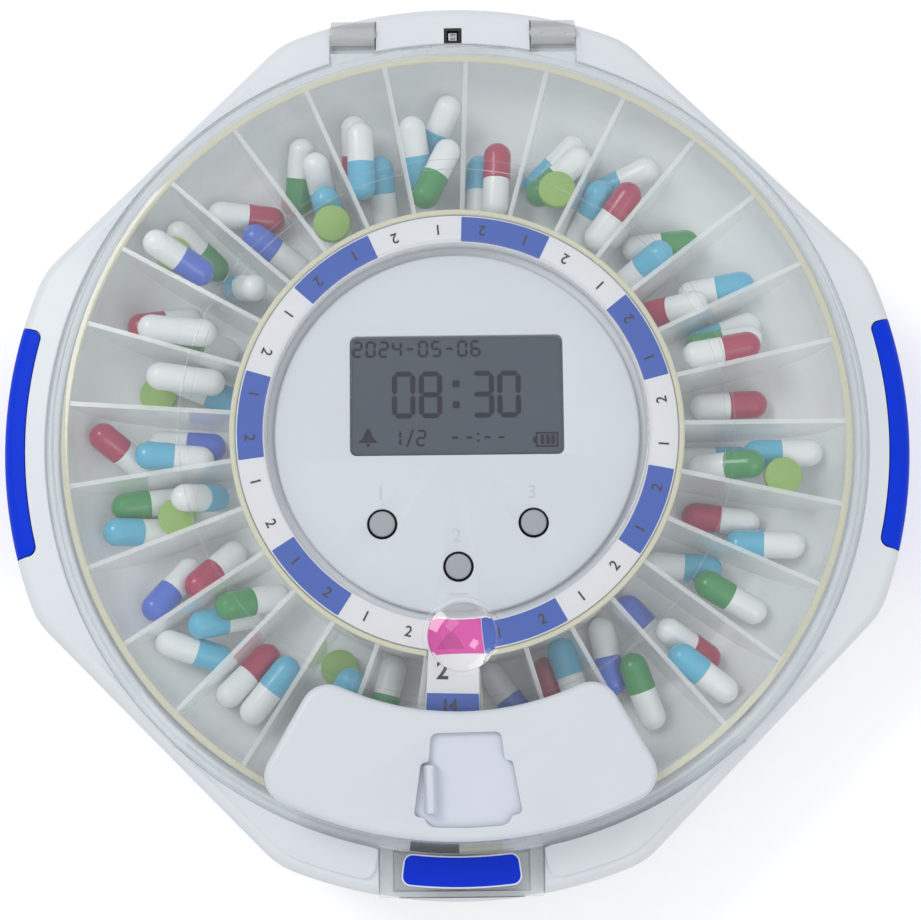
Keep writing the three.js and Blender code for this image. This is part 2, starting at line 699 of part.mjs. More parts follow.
function batteryBayRoom() {
  const [halfLength, halfWidth] = [BAY_LENGTH / 2, BAY_WIDTH / 2];
  const room = block(
    BAY_CENTRE_X - halfLength, BAY_CENTRE_X + halfLength,
    -halfWidth, halfWidth, FOOT_STAND - OVERRUN, BAY_ROOF);
  const doorRecess = block(
    BAY_CENTRE_X - halfLength - DOOR_LIP - DOOR_TRAVEL - GAP, BAY_CENTRE_X + halfLength + DOOR_LIP + GAP,
    -halfWidth - DOOR_LIP - GAP, halfWidth + DOOR_LIP + GAP, FOOT_STAND - OVERRUN, DOOR_TOP + GAP);
  const tongueSlot = block(
    BAY_CENTRE_X + halfLength, BAY_CENTRE_X + halfLength + DOOR_LIP + DOOR_TONGUE + GAP,
    -DOOR_TONGUE_HALF_WIDTH - GAP, DOOR_TONGUE_HALF_WIDTH + GAP,
    DOOR_TOP - DOOR_TONGUE_WALL - GAP, DOOR_TOP + GAP);
  return joined([room, doorRecess, tongueSlot]);
}

function baseShell() {
  const bowl = polarLoft((angle) => {
    const outer = bowlProfile(angle, 0);
    const inner = bowlProfile(angle, HOUSING_WALL).reverse();
    outer[outer.length - 1][1] -= SEAM_GAP / 2;
    inner[0][1] -= SEAM_GAP / 2;
    return [[0, FOOT_STAND], ...outer, ...inner, [0, FLOOR_TOP]];
  });
  const posts = screwPlaces.map(([x, y]) => disc(
    SCREW_POST_RADIUS, FLOOR_TOP - FLOOR_WALL / 2, SCREW_SPLIT, x, y));
  const pivotPost = disc(
    GEAR_HUB_RADIUS, FLOOR_TOP - FLOOR_WALL / 2, WHEEL_BOTTOM - GAP, DRIVE_X, 0);
  const solid = joined([bowl, batteryBayWalls(), pivotPost, ...posts]);
  return cutBy(solid, [
    batteryBayRoom(),
    ...screwPlaces.map(([x, y]) => disc(
      SCREW_SHANK_RADIUS + GAP, 0, SCREW_SPLIT + OVERRUN, x, y, TINY_FACETS)),
    ...screwPlaces.map(([x, y]) => disc(SCREW_HEAD_RADIUS + GAP, 0, FOOT_STAND + SCREW_HEAD_SINK, x, y)),
    ...footPlaces.map(([x, y]) => disc(FOOT_RADIUS + GAP, 0, FOOT_STAND + FOOT_SINK, x, y)),
    disc(GEAR_PIN_RADIUS + GAP, FLOOR_TOP, WHEEL_BOTTOM, DRIVE_X, 0, TINY_FACETS),
    gripPocket(1),
    gripPocket(-1),
  ]);
}

// Upper housing: side wall, shoulder, lid seat, tray well and the centre tower

function deckTopProfile(angle) {
  return [...shoulderProfile(angle, 0), [SEAT_RADIUS, SEAT_Z], [WELL_RADIUS, SEAT_Z]];
}

// The ring outside the well, filled from the part line up to the shoulder and the lid seat
function deckRing() {
  return polarLoft((angle) => [
    [WELL_RADIUS, PART_LINE + SEAM_GAP / 2],
    [outlineRadius(angle), PART_LINE + SEAM_GAP / 2],
    ...deckTopProfile(angle),
  ]);
}

function hingeBlock(side) {
  const half = LUG_WIDTH / 2 + SIDE_GAP + PIN_GRIP + HINGE_BLOCK_WALL;
  const reach = LUG_EYE_RADIUS + SIDE_GAP + HINGE_BLOCK_WALL;
  return block(
    side * HINGE_X - half, side * HINGE_X + half, WELL_RADIUS - CORNER_RADIUS / 2, BODY_RADIUS,
    HINGE_Z - reach, SHOULDER_TOP + OVERRUN);
}

// Raised pads on the shoulder, on both sides of the latch
function frontPad(side) {
  const start = Math.asin((LATCH_HALF_WIDTH + GAP) / (SEAT_RADIUS + PAD_CORNER));
  const plan = new THREE.Shape();
  const place = (r, a) => [r * Math.cos(FRONT + a), r * Math.sin(FRONT + a)];
  const cornerTurn = PAD_CORNER / BODY_RADIUS;
  const outer = (a) => outlineRadius(FRONT + a, PAD_INSET);
  plan.moveTo(...place(SEAT_RADIUS + SIDE_GAP, start));
  plan.lineTo(...place(outer(start) - PAD_CORNER, start));
  plan.lineTo(...place(outer(start) - PAD_CORNER / 3, start + cornerTurn / 3));
  for (let i = 0; i <= ARC_STEPS; i++) {
    const a = start + cornerTurn + (Math.PI / 4 - start - 3 * cornerTurn) * i / ARC_STEPS;
    plan.lineTo(...place(Math.max(outer(a), SEAT_RADIUS + 2 * SIDE_GAP), a));
  }
  plan.lineTo(...place(SEAT_RADIUS + SIDE_GAP, Math.PI / 4 - 2 * cornerTurn));
  const skin = polarLoft((angle) => [
    [SEAT_RADIUS, EDGE_TOP - HOUSING_WALL / 2],
    [outlineRadius(angle), EDGE_TOP - HOUSING_WALL / 2],
    ...shoulderProfile(angle, -PAD_RISE),
  ]);
  const pad = prism(plan, EDGE_TOP - HOUSING_WALL / 2, LID_TOP).intersect(skin);
  return side > 0 ? pad : pad.mirror([1, 0, 0]);
}

function hingeRoom(side) {
  const half = LUG_WIDTH / 2 + SIDE_GAP;
  const eye = LUG_EYE_RADIUS + SIDE_GAP;
  const barrel = rodAlongX(eye, side * HINGE_X - half, side * HINGE_X + half, HINGE_Y, HINGE_Z);
  const armBack = HINGE_Y - LUG_EYE_RADIUS * LUG_HEEL_SHARE - SIDE_GAP;
  const armRoom = block(
    side * HINGE_X - half, side * HINGE_X + half, armBack, HINGE_Y,
    HINGE_Z - LUG_EYE_RADIUS / 2 - SIDE_GAP, LID_TOP);
  const topRoom = block(
    side * HINGE_X - half, side * HINGE_X + half, HINGE_Y - OVERRUN, HINGE_Y + eye, HINGE_Z, LID_TOP);
  const pinHalf = half + PIN_GRIP;
  const pinBore = rodAlongX(
    PIN_RADIUS + GAP, side * HINGE_X - pinHalf, side * HINGE_X + pinHalf, HINGE_Y, HINGE_Z, TINY_FACETS);
  const lugRoom = block(
    side * HINGE_X - half, side * HINGE_X + half, WELL_RADIUS - CORNER_RADIUS / 2, HINGE_Y, SEAT_Z, LID_TOP);
  return joined([barrel, armRoom, topRoom, lugRoom, pinBore]);
}

function latchBlock() {
  return block(
    -LATCH_HALF_WIDTH - LATCH_BLOCK_WALL, LATCH_HALF_WIDTH + LATCH_BLOCK_WALL,
    -BODY_RADIUS, CORNER_RADIUS / 2 - WELL_RADIUS, LATCH_FLOOR - LATCH_BLOCK_WALL, SHOULDER_TOP + OVERRUN);
}

function latchRoom() {
  const room = block(
    -LATCH_HALF_WIDTH, LATCH_HALF_WIDTH, LATCH_FRONT_Y, -WELL_RADIUS, LATCH_FLOOR, LID_TOP,
  ).subtract(disc(LATCH_BACK_RADIUS, 0, LID_TOP, 0, 0, LID_FACETS));
  const arcGate = block(
    -LATCH_HALF_WIDTH, LATCH_HALF_WIDTH, LATCH_FRONT_Y, CORNER_RADIUS - WELL_RADIUS, SEAT_Z, LID_TOP);
  const stemBore = disc(
    LATCH_STEM_RADIUS + GAP, 0, LATCH_FLOOR + OVERRUN, 0, latchStemY(), TINY_FACETS);
  return joined([room, arcGate, stemBore]);
}

const latchStemY = () => (LATCH_FRONT_Y + FRAME_BAR + SIDE_GAP - LATCH_BACK_RADIUS) / 2;

function socketRoom() {
  return block(
    -SOCKET_WIDTH / 2, SOCKET_WIDTH / 2, SOCKET_Y - SOCKET_DEPTH / 2, SOCKET_Y + SOCKET_DEPTH / 2,
    SOCKET_BOTTOM, LID_TOP);
}

function socketBlock() {
  return block(
    -SOCKET_WIDTH / 2 - HOUSING_WALL, SOCKET_WIDTH / 2 + HOUSING_WALL,
    SOCKET_Y - SOCKET_DEPTH / 2 - WELL_WALL, SOCKET_Y + SOCKET_DEPTH / 2 + HOUSING_WALL,
    SOCKET_BOTTOM - FLOOR_WALL, SHOULDER_TOP + OVERRUN);
}

function deckShell() {
  const towerInside = TOWER_RADIUS - TOWER_WALL;
  const wellOutside = WELL_RADIUS + WELL_WALL;
  const deck = polarLoft((angle) => [
    [outlineRadius(angle), PART_LINE + SEAM_GAP / 2],
    ...deckTopProfile(angle),
    [WELL_RADIUS, WELL_FLOOR],
    [TOWER_RADIUS, WELL_FLOOR],
    [TOWER_RADIUS, TOWER_TOP],
    [towerInside, TOWER_TOP],
    [towerInside, WELL_FLOOR],
    [0, WELL_FLOOR],
    [0, WELL_UNDERSIDE],
    [wellOutside, WELL_UNDERSIDE],
    [wellOutside, EDGE_TOP - HOUSING_WALL],
    [outlineRadius(angle, HOUSING_WALL), SIDE_TOP - HOUSING_WALL / 2],
    [outlineRadius(angle, HOUSING_WALL), PART_LINE + SEAM_GAP / 2],
  ]);
  const bosses = screwPlaces.map(([x, y]) => disc(
    SCREW_POST_RADIUS, SCREW_SPLIT + GAP, WELL_UNDERSIDE + WELL_FLOOR_WALL / 2, x, y));
  const blocks = joined([hingeBlock(1), hingeBlock(-1), latchBlock(), socketBlock()]);
  const solid = joined([
    deck, blocks.intersect(deckRing()), frontPad(1), frontPad(-1), ...bosses]);
  const pinionTop = TRAY_BOTTOM + RING_FACE + 4 * SIDE_GAP;
  return cutBy(solid, [
    ...screwPlaces.map(([x, y]) => disc(
      SCREW_SHANK_RADIUS + GAP, SCREW_SPLIT, WELL_UNDERSIDE, x, y, TINY_FACETS)),
    disc(PINION_TIP_RADIUS + 2 * SIDE_GAP, 0, pinionTop, DRIVE_X, 0, FINE_FACETS),
    disc(MOTOR_PITCH_RADIUS / 2, 0, WELL_FLOOR + OVERRUN, MOTOR_X, 0),
    hingeRoom(1), hingeRoom(-1), latchRoom(), socketRoom(), gripPocket(1), gripPocket(-1),
  ]);
}

// Hub cap with the display opening, its ledge, three button holes and the board posts

function displayRectangle(grow, corner = DISPLAY_CORNER) {
  return roundedRectangle(
    -DISPLAY_WIDTH / 2 - grow, DISPLAY_WIDTH / 2 + grow,
    DISPLAY_Y - DISPLAY_HEIGHT / 2 - grow, DISPLAY_Y + DISPLAY_HEIGHT / 2 + grow, corner);
}

function hubCap() {
  const skirtOutside = TOWER_RADIUS - TOWER_WALL - SIDE_GAP;
  const rim = TOWER_TOP + GAP;
  const cap = revolve([
    [0, HUB_TOP],
    [HUB_RADIUS - HUB_EDGE, HUB_TOP],
    [HUB_RADIUS - HUB_EDGE * Math.cos(Math.PI / 4), HUB_TOP - HUB_EDGE * (1 - Math.sin(Math.PI / 4))],
    [HUB_RADIUS, HUB_TOP - HUB_EDGE],
    [HUB_RADIUS, rim],
    [skirtOutside, rim],
    [skirtOutside, HUB_UNDERSIDE - HUB_SKIRT_DEPTH],
    [skirtOutside - HUB_SKIRT_WALL, HUB_UNDERSIDE - HUB_SKIRT_DEPTH],
    [skirtOutside - HUB_SKIRT_WALL, HUB_UNDERSIDE],
    [0, HUB_UNDERSIDE],
  ], LID_FACETS);
  const posts = postPlaces.map(([x, y]) => disc(
    POST_RADIUS, BOARD_TOP + GAP, HUB_TOP - HUB_WALL / 2, x, y));
  return cutBy(joined([cap, ...posts]), [
    prism(displayRectangle(0), HUB_TOP - WINDOW_SINK - WINDOW_WALL - GAP, HUB_TOP + OVERRUN),
    prism(displayRectangle(-DISPLAY_LEDGE), 0, HUB_TOP),
    ...buttonPlaces.map(([x, y]) => disc(
      BUTTON_RADIUS + BUTTON_RING, 0, HUB_TOP + OVERRUN, x, y, FINE_FACETS)),
    ...postPlaces.map(([x, y]) => disc(
      SCREW_SHANK_RADIUS + GAP, BOARD_TOP, HUB_UNDERSIDE - HUB_WALL / 2, x, y, TINY_FACETS)),
  ]);
}

function button([x, y]) {
  const flangeTop = HUB_UNDERSIDE - GAP;
  const edge = BUTTON_RING / 2;
  const cap = revolve([
    [0, HUB_TOP + BUTTON_PROUD],
    [BUTTON_RADIUS - edge, HUB_TOP + BUTTON_PROUD],
    [BUTTON_RADIUS, HUB_TOP + BUTTON_PROUD - edge],
    [BUTTON_RADIUS, flangeTop],
    [BUTTON_FLANGE_RADIUS, flangeTop],
    [BUTTON_FLANGE_RADIUS, flangeTop - BUTTON_FLANGE_WALL],
    [0, flangeTop - BUTTON_FLANGE_WALL],
  ], SMALL_FACETS);
  return cap.translate([x, y, 0]);
}

function tactSwitch([x, y]) {
  const half = SWITCH_SIZE / 2;
  const bottom = BOARD_TOP + GAP;
  const stemTop = HUB_UNDERSIDE - GAP - BUTTON_FLANGE_WALL - BUTTON_TRAVEL - GAP;
  return block(x - half, x + half, y - half, y + half, bottom, bottom + SWITCH_BODY)
    .add(disc(SWITCH_STEM_RADIUS, bottom + SWITCH_BODY / 2, stemTop, x, y, TINY_FACETS));
}

function displayModule() {
  const top = HUB_UNDERSIDE - GAP;
  const halfWidth = MODULE_WIDTH / 2;
  const halfHeight = MODULE_HEIGHT / 2;
  const windowBottom = HUB_TOP - WINDOW_SINK - WINDOW_WALL;
  const frame = block(
    -halfWidth, halfWidth, DISPLAY_Y - halfHeight, DISPLAY_Y + halfHeight, BOARD_TOP + GAP, top);
  const glassOutline = displayRectangle(-DISPLAY_LEDGE - GAP, DISPLAY_CORNER / 2);
  const glass = prism(glassOutline, top - GAP, windowBottom - GAP);
  return frame.add(glass);
}

function mainBoard() {
  return cutBy(disc(BOARD_RADIUS, BOARD_TOP - BOARD_WALL, BOARD_TOP, 0, 0, FINE_FACETS * 2), [
    ...postPlaces.map(([x, y]) => disc(SCREW_SHANK_RADIUS + GAP, 0, HUB_TOP, x, y, TINY_FACETS)),
  ]);
}

function screw([x, y], headBottom, tip) {
  const shoulder = headBottom + SCREW_HEAD_HEIGHT;
  return revolve([
    [0, tip],
    [SCREW_SHANK_RADIUS, tip],
    [SCREW_SHANK_RADIUS, shoulder],
    [SCREW_HEAD_RADIUS, shoulder],
    [SCREW_HEAD_RADIUS, headBottom],
    [0, headBottom],
  ], TINY_FACETS).translate([x, y, 0]);
}

const boardScrew = (place) => screw(
  place, BOARD_TOP - BOARD_WALL - GAP - SCREW_HEAD_HEIGHT, BOARD_TOP + SCREW_BITE);
const housingScrew = (place) => screw(
  place, FOOT_STAND + SCREW_HEAD_SINK - GAP - SCREW_HEAD_HEIGHT, SCREW_SPLIT + SCREW_BITE);

// Pill tray: scooped bowl, dividers, ledge for the dose ring and the gear ring.
// The facets of the bowl meet at the dividers, so that each pocket has one flat of its own.

function trayBowl() {
  const outer = TRAY_RIM_RADIUS - TRAY_RIM_WIDTH;
  const floor = TRAY_BOTTOM + TRAY_WALL;
  const scoop = (drop) => Array.from({ length: SCOOP_STEPS + 1 }, (_, i) => {
    const t = Math.PI / 2 * i / SCOOP_STEPS;
    const reach = outer + drop - POCKET_FLAT_RADIUS;
    return [
      POCKET_FLAT_RADIUS + reach * Math.sin(t),
      floor - drop + (TRAY_OUTER_TOP - TRAY_RIM_WIDTH - floor) * (1 - Math.cos(t)),
    ];
  });
  const innerWallFace = TRAY_INNER_RADIUS + TRAY_WALL;
  const ledgeInner = TRAY_INNER_RADIUS - LEDGE_WIDTH;
  return revolve([
    [TRAY_INNER_RADIUS, TRAY_BOTTOM],
    ...scoop(TRAY_WALL),
    [TRAY_RIM_RADIUS, TRAY_OUTER_TOP - TRAY_RIM_WIDTH],
    [TRAY_RIM_RADIUS, TRAY_OUTER_TOP],
    [outer, TRAY_OUTER_TOP],
    ...scoop(0).reverse(),
    [innerWallFace, floor],
    [innerWallFace, TRAY_INNER_TOP],
    [TRAY_INNER_RADIUS, TRAY_INNER_TOP],
    [TRAY_INNER_RADIUS, LEDGE_TOP],
    [ledgeInner, LEDGE_TOP],
    [ledgeInner, LEDGE_TOP - LEDGE_WALL],
    [TRAY_INNER_RADIUS, LEDGE_TOP - LEDGE_WALL - LEDGE_WIDTH / 2],
  ], POCKETS * TRAY_FACETS_PER_POCKET);
}

function trayGearRing() {
  const blank = disc(
    TRAY_INNER_RADIUS + TRAY_WALL / 2, TRAY_BOTTOM, TRAY_BOTTOM + RING_FACE, 0, 0,
    POCKETS * TRAY_FACETS_PER_POCKET);
  return blank.rotate([0, 0, 180 / POCKETS])
    .subtract(prism(gearShape(RING_TEETH, RING_MODULE, Math.PI / 2, true), 0, LID_TOP));
}

function trayDivider(index) {
  const inside = TRAY_INNER_RADIUS + TRAY_WALL / 2;
  const outer = TRAY_RIM_RADIUS - TRAY_RIM_WIDTH / 2;
  const side = new THREE.Shape();
  const floor = TRAY_BOTTOM + TRAY_WALL / 2;
  side.moveTo(inside, floor);
  side.lineTo(POCKET_FLAT_RADIUS, floor);
  for (let i = 1; i <= SCOOP_STEPS; i++) {
    const t = Math.PI / 2 * i / SCOOP_STEPS;
    side.lineTo(
      POCKET_FLAT_RADIUS + (outer - POCKET_FLAT_RADIUS) * Math.sin(t),
      floor + (TRAY_OUTER_TOP - TRAY_RIM_WIDTH - floor) * (1 - Math.cos(t)));
  }
  side.lineTo(outer, TRAY_OUTER_TOP - TRAY_WALL / 8);
  side.lineTo(inside, TRAY_INNER_TOP - TRAY_WALL / 8);
  const geometry = new THREE.ExtrudeGeometry(side, { depth: DIVIDER_WALL, bevelEnabled: false });
  geometry.translate(0, 0, -DIVIDER_WALL / 2);
  geometry.rotateX(Math.PI / 2);
  geometry.rotateZ(Math.PI / 2 + TURN * index / POCKETS);
  return toSolid(geometry);
}

function tabShape(gap) {
  const shape = new THREE.Shape();
  const [start, end] = [DOSE_OUTER_RADIUS - DOSE_LIP_WIDTH - gap, TAB_END_RADIUS + gap];
  const [inner, outer] = [TAB_INNER_WIDTH / 2 + gap, TAB_OUTER_WIDTH / 2 + gap];
  shape.moveTo(-inner, -start);
  shape.lineTo(-outer, -end);
  shape.lineTo(outer, -end);
  shape.lineTo(inner, -start);
  return shape;
}

function pillTray() {
  const bowl = trayBowl().rotate([0, 0, 180 / POCKETS]);
  const dividers = Array.from({ length: POCKETS }, (_, i) => trayDivider(i));
  const tabSeat = prism(tabShape(GAP), DOSE_TOP - DOSE_WALL - GAP, LID_TOP);
  const homeNotch = block(
    -HOME_NOTCH_HALF_WIDTH, HOME_NOTCH_HALF_WIDTH, -TRAY_INNER_RADIUS - TRAY_WALL / 4,
    -TRAY_INNER_RADIUS + OVERRUN, SENSOR_BOTTOM, SENSOR_BOTTOM + SENSOR_HEIGHT);
  const halfPocket = Math.PI / POCKETS;
  const homePlate = prism(sectorShape(
    TRAY_INNER_RADIUS + TRAY_WALL / 2, TRAY_RIM_RADIUS - TRAY_RIM_WIDTH / 2, -halfPocket, halfPocket, 2),
    HOME_PLATE_TOP - HOME_PLATE_WALL, HOME_PLATE_TOP);
  const [drainStart, drainEnd] = HOME_DRAIN_SHARES.map(
    (share) => TRAY_INNER_RADIUS + (POCKET_FLAT_RADIUS - TRAY_INNER_RADIUS) * share);
  const drain = prism(sectorShape(
    drainStart, drainEnd, -halfPocket / 2, halfPocket / 2, 2), WELL_FLOOR, TRAY_BOTTOM + 2 * TRAY_WALL);
  return cutBy(joined([bowl, trayGearRing(), homePlate, ...dividers]), [tabSeat, homeNotch, drain]);
}

function doseRing() {
  const lipBottom = LEDGE_TOP + GAP;
  const ring = revolve([
    [DOSE_INNER_RADIUS, DOSE_TOP],
    [DOSE_INNER_RADIUS, DOSE_TOP - DOSE_WALL],
    [DOSE_OUTER_RADIUS - DOSE_LIP_WIDTH, DOSE_TOP - DOSE_WALL],
    [DOSE_OUTER_RADIUS - DOSE_LIP_WIDTH, lipBottom],
    [DOSE_OUTER_RADIUS, lipBottom],
    [DOSE_OUTER_RADIUS, DOSE_TOP],
  ], POCKETS * DOSE_FACETS_PER_POCKET);
  return ring.add(prism(tabShape(0), DOSE_TOP - DOSE_WALL, DOSE_TOP));
}

// Drive train

const ringToothPhase = Math.PI / 2 + rad(TRAY_REST_TURN);
const pinionPhase = (ringToothPhase + Math.PI / RING_TEETH) * RING_TEETH / PINION_TEETH;

function driveGear() {
  const hubBottom = WHEEL_BOTTOM;
  const pinionBottom = TRAY_BOTTOM + GAP / 2;
  const solid = joined([
    prism(gearShape(WHEEL_TEETH, WHEEL_MODULE, Math.PI), hubBottom, hubBottom + WHEEL_FACE),
    disc(GEAR_HUB_RADIUS, hubBottom, pinionBottom + RING_FACE / 2, 0, 0),
    prism(gearShape(PINION_TEETH, RING_MODULE, pinionPhase), pinionBottom, pinionBottom + RING_FACE),
  ]);
  const bore = disc(GEAR_PIN_RADIUS + GAP, 0, HUB_TOP, 0, 0, TINY_FACETS);
  return solid.subtract(bore).translate([DRIVE_X, 0, 0]);
}

function gearPin() {
  const top = TRAY_BOTTOM + RING_FACE + 2 * SIDE_GAP;
  return disc(GEAR_PIN_RADIUS, FLOOR_TOP + GAP, top, DRIVE_X, 0, TINY_FACETS);
}

function motorPinion() {
  const gear = prism(
    gearShape(MOTOR_TEETH, WHEEL_MODULE, Math.PI / MOTOR_TEETH), WHEEL_BOTTOM, WHEEL_BOTTOM + WHEEL_FACE);
  const bore = disc(MOTOR_SHAFT_RADIUS + GAP, 0, HUB_TOP, 0, 0, TINY_FACETS);
  return gear.subtract(bore).translate([MOTOR_X, 0, 0]);
}

function driveMotor() {
  const bottom = WELL_FLOOR + GAP;
  const can = revolve([
    [0, bottom + MOTOR_HEIGHT],
    [MOTOR_RADIUS - FOOT_EDGE, bottom + MOTOR_HEIGHT],
    [MOTOR_RADIUS, bottom + MOTOR_HEIGHT - FOOT_EDGE],
    [MOTOR_RADIUS, bottom],
    [0, bottom],
  ], SMALL_FACETS);
  const flat = MOTOR_RADIUS * MOTOR_FLAT_SHARE;
  const flatBottom = bottom + MOTOR_HEIGHT / 3;
  const trimmed = cutBy(can, [
    block(-MOTOR_RADIUS, MOTOR_RADIUS, flat, MOTOR_RADIUS + OVERRUN, flatBottom, HUB_TOP),
    block(-MOTOR_RADIUS, MOTOR_RADIUS, -MOTOR_RADIUS - OVERRUN, -flat, flatBottom, HUB_TOP),
  ]);
  const shaft = disc(MOTOR_SHAFT_RADIUS, WHEEL_BOTTOM, bottom + OVERRUN, 0, 0, TINY_FACETS);
  return trimmed.add(shaft).translate([MOTOR_X, 0, 0]);
}

function homeSensor() {
  const back = TOWER_RADIUS + GAP;
  const half = SENSOR_LENGTH / 2;
  const body = block(-back - SENSOR_DEPTH, -back, -half, half, SENSOR_BOTTOM, SENSOR_BOTTOM + SENSOR_HEIGHT);
  const eyes = [-1, 1].map((side) => rodAlongX(
    SENSOR_EYE_RADIUS, -back - SENSOR_DEPTH - SENSOR_EYE_PROUD, -back - SENSOR_DEPTH / 2,
    side * half / 2, SENSOR_BOTTOM + SENSOR_HEIGHT / 2, TINY_FACETS));
  return joined([body, ...eyes]).rotate([0, 0, 90 + TRAY_REST_TURN]);
}

// Cells and contacts

const cellY = (index) => (index - (CELLS - 1) / 2) * CELL_SPACING;
const cellSide = (index) => (index % 2 === 0 ? 1 : -1);

function cell(index) {
  const start = -CELL_LENGTH / 2;
  const edge = FOOT_EDGE;
  const profile = [
    [0, start],
    [CELL_RADIUS - edge, start],
    [CELL_RADIUS, start + edge],
    [CELL_RADIUS, start + CELL_LENGTH - edge],
    [CELL_RADIUS - edge, start + CELL_LENGTH],
    [CELL_NIPPLE_RADIUS, start + CELL_LENGTH],
    [CELL_NIPPLE_RADIUS, start + CELL_LENGTH + CELL_NIPPLE_LENGTH],
    [0, start + CELL_LENGTH + CELL_NIPPLE_LENGTH],
  ];
  const shift = cellSide(index) * (CONTACT_ROOM - CONTACT_WALL - 2 * GAP - CELL_NIPPLE_LENGTH / 2);
  return revolve(profile, SMALL_FACETS)
    .rotate([0, cellSide(index) * 90, 0])
    .translate([BAY_CENTRE_X + shift, cellY(index), CELL_Z]);
}

function contactPlate(side) {
  const end = BAY_CENTRE_X + side * (BAY_LENGTH / 2 - GAP);
  const [x0, x1] = [Math.min(end, end - side * CONTACT_WALL), Math.max(end, end - side * CONTACT_WALL)];
  return block(
    x0, x1, cellY(0) - CELL_RADIUS / 2, cellY(CELLS - 1) + CELL_RADIUS / 2,
    CELL_Z - CELL_RADIUS / 2, CELL_Z + CELL_RADIUS / 2);
}

function contactSpring(index) {
  const side = -cellSide(index);
  const contactShift = CONTACT_ROOM - CONTACT_WALL - 2 * GAP - CELL_NIPPLE_LENGTH / 2;
  const cellEnd = side * (CELL_LENGTH / 2 - contactShift);
  const plateFace = side * (BAY_LENGTH / 2 - 2 * GAP - CONTACT_WALL);
  const length = Math.abs(plateFace - cellEnd) - GAP;
  const wire = CONTACT_WIRE_RADIUS;
  const [narrow, wide] = CONTACT_RADIUS_SHARES.map((share) => CELL_RADIUS * share);
  return coil(narrow, wide, 0, length, CONTACT_TURNS, wire)
    .rotate([0, side * 90, 0])
    .translate([BAY_CENTRE_X + cellEnd + side * GAP, cellY(index), CELL_Z]);
}

function batteryDoor() {
  const [halfLength, halfWidth] = [BAY_LENGTH / 2 + DOOR_LIP, BAY_WIDTH / 2 + DOOR_LIP];
  const bottom = FOOT_STAND + GAP / 3;
  const plate = block(
    BAY_CENTRE_X - halfLength, BAY_CENTRE_X + halfLength, -halfWidth, halfWidth, bottom, DOOR_TOP);
  const tongue = block(
    BAY_CENTRE_X + halfLength - DOOR_LIP, BAY_CENTRE_X + halfLength + DOOR_TONGUE,
    -DOOR_TONGUE_HALF_WIDTH, DOOR_TONGUE_HALF_WIDTH, DOOR_TOP - DOOR_TONGUE_WALL, DOOR_TOP);
  const ribs = Array.from({ length: DOOR_RIBS }, (_, i) => {
    const x = BAY_CENTRE_X + halfLength - THUMB_RADIUS - i * DOOR_RIB_PITCH;
    return block(
      x - DOOR_RIB_WIDTH / 2, x + DOOR_RIB_WIDTH / 2, -DOOR_RIB_LENGTH / 2, DOOR_RIB_LENGTH / 2,
      bottom - OVERRUN, bottom + DOOR_WALL / 3);
  });
  return cutBy(plate.add(tongue), ribs);
}

function rubberFoot([x, y]) {
  const top = FOOT_STAND + FOOT_SINK - GAP;
  return revolve([
    [0, top],
    [FOOT_RADIUS, top],
    [FOOT_RADIUS, FOOT_EDGE],
    [FOOT_RADIUS - FOOT_EDGE, 0],
    [0, 0],
  ], SMALL_FACETS).translate([x, y, 0]);
}

// Lid: flange, skirt, stepped top, collar round the hub, lens boss, hinge lugs and catch frame

const flangeTop = LID_BOTTOM + LID_FLANGE_WALL;
const lidEdgeZ = LID_EDGE_Z - LID_CORNER_DROP;
const skirtTopRadius = LID_CORNER_RADIUS + LID_CORNER_DROP * LID_SKIRT_SHARE;
const [roundOut, roundDown, roundIn] = LID_ROUND_SHARES.map((share) => LID_CORNER_DROP * share);

// Outside of the lid from the flange up to the flat top, grown by a gap
const lidOutside = (grow = 0) => [
  [LID_RADIUS + grow, LID_BOTTOM],
  [LID_RADIUS + grow, flangeTop + grow],
  [LID_SKIRT_RADIUS + grow, flangeTop + LID_FLANGE_WALL / 4 + grow],
  [skirtTopRadius + grow, lidEdgeZ],
  [LID_CORNER_RADIUS + roundOut + grow, LID_EDGE_Z - roundDown + grow],
  [LID_CORNER_RADIUS - roundIn + grow, LID_EDGE_Z + grow],
  [LID_STEP_RADIUS + GAP + grow, LID_STEP_Z + grow],
  [LID_STEP_RADIUS + grow, LID_TOP - GAP + grow],
  [LID_STEP_RADIUS - GAP, LID_TOP + grow],
];

// Inside of the lid, from the flat top down to the flange
const lidInside = () => [
  [LID_STEP_RADIUS - LID_WALL, LID_TOP - LID_WALL],
  [LID_STEP_RADIUS - LID_WALL, LID_STEP_Z - LID_WALL],
  [LID_CORNER_RADIUS - LID_WALL, LID_EDGE_Z - LID_WALL],
  [skirtTopRadius - LID_WALL, lidEdgeZ - LID_WALL / 2],
  [LID_SKIRT_RADIUS - LID_WALL, flangeTop + LID_FLANGE_WALL],
  [LID_RADIUS - LID_FLANGE_WALL, LID_BOTTOM],
];

function lidDome() {
  const holeOutside = LID_HOLE_RADIUS + COLLAR_WALL;
  return revolve([
    ...lidOutside(),
    [holeOutside, LID_TOP],
    [LID_HOLE_RADIUS + GAP, LID_TOP - GAP],
    [LID_HOLE_RADIUS, COLLAR_BOTTOM],
    [holeOutside - GAP, COLLAR_BOTTOM],
    [holeOutside, LID_TOP - LID_WALL],
    ...lidInside(),
  ], LID_FACETS);
}

function lidRoom() {
  return revolve([
    [0, LID_TOP - LID_WALL],
    ...lidInside(),
    [LID_RADIUS - LID_FLANGE_WALL, FOOT_STAND],
    [0, FOOT_STAND],
  ], LID_FACETS);
}

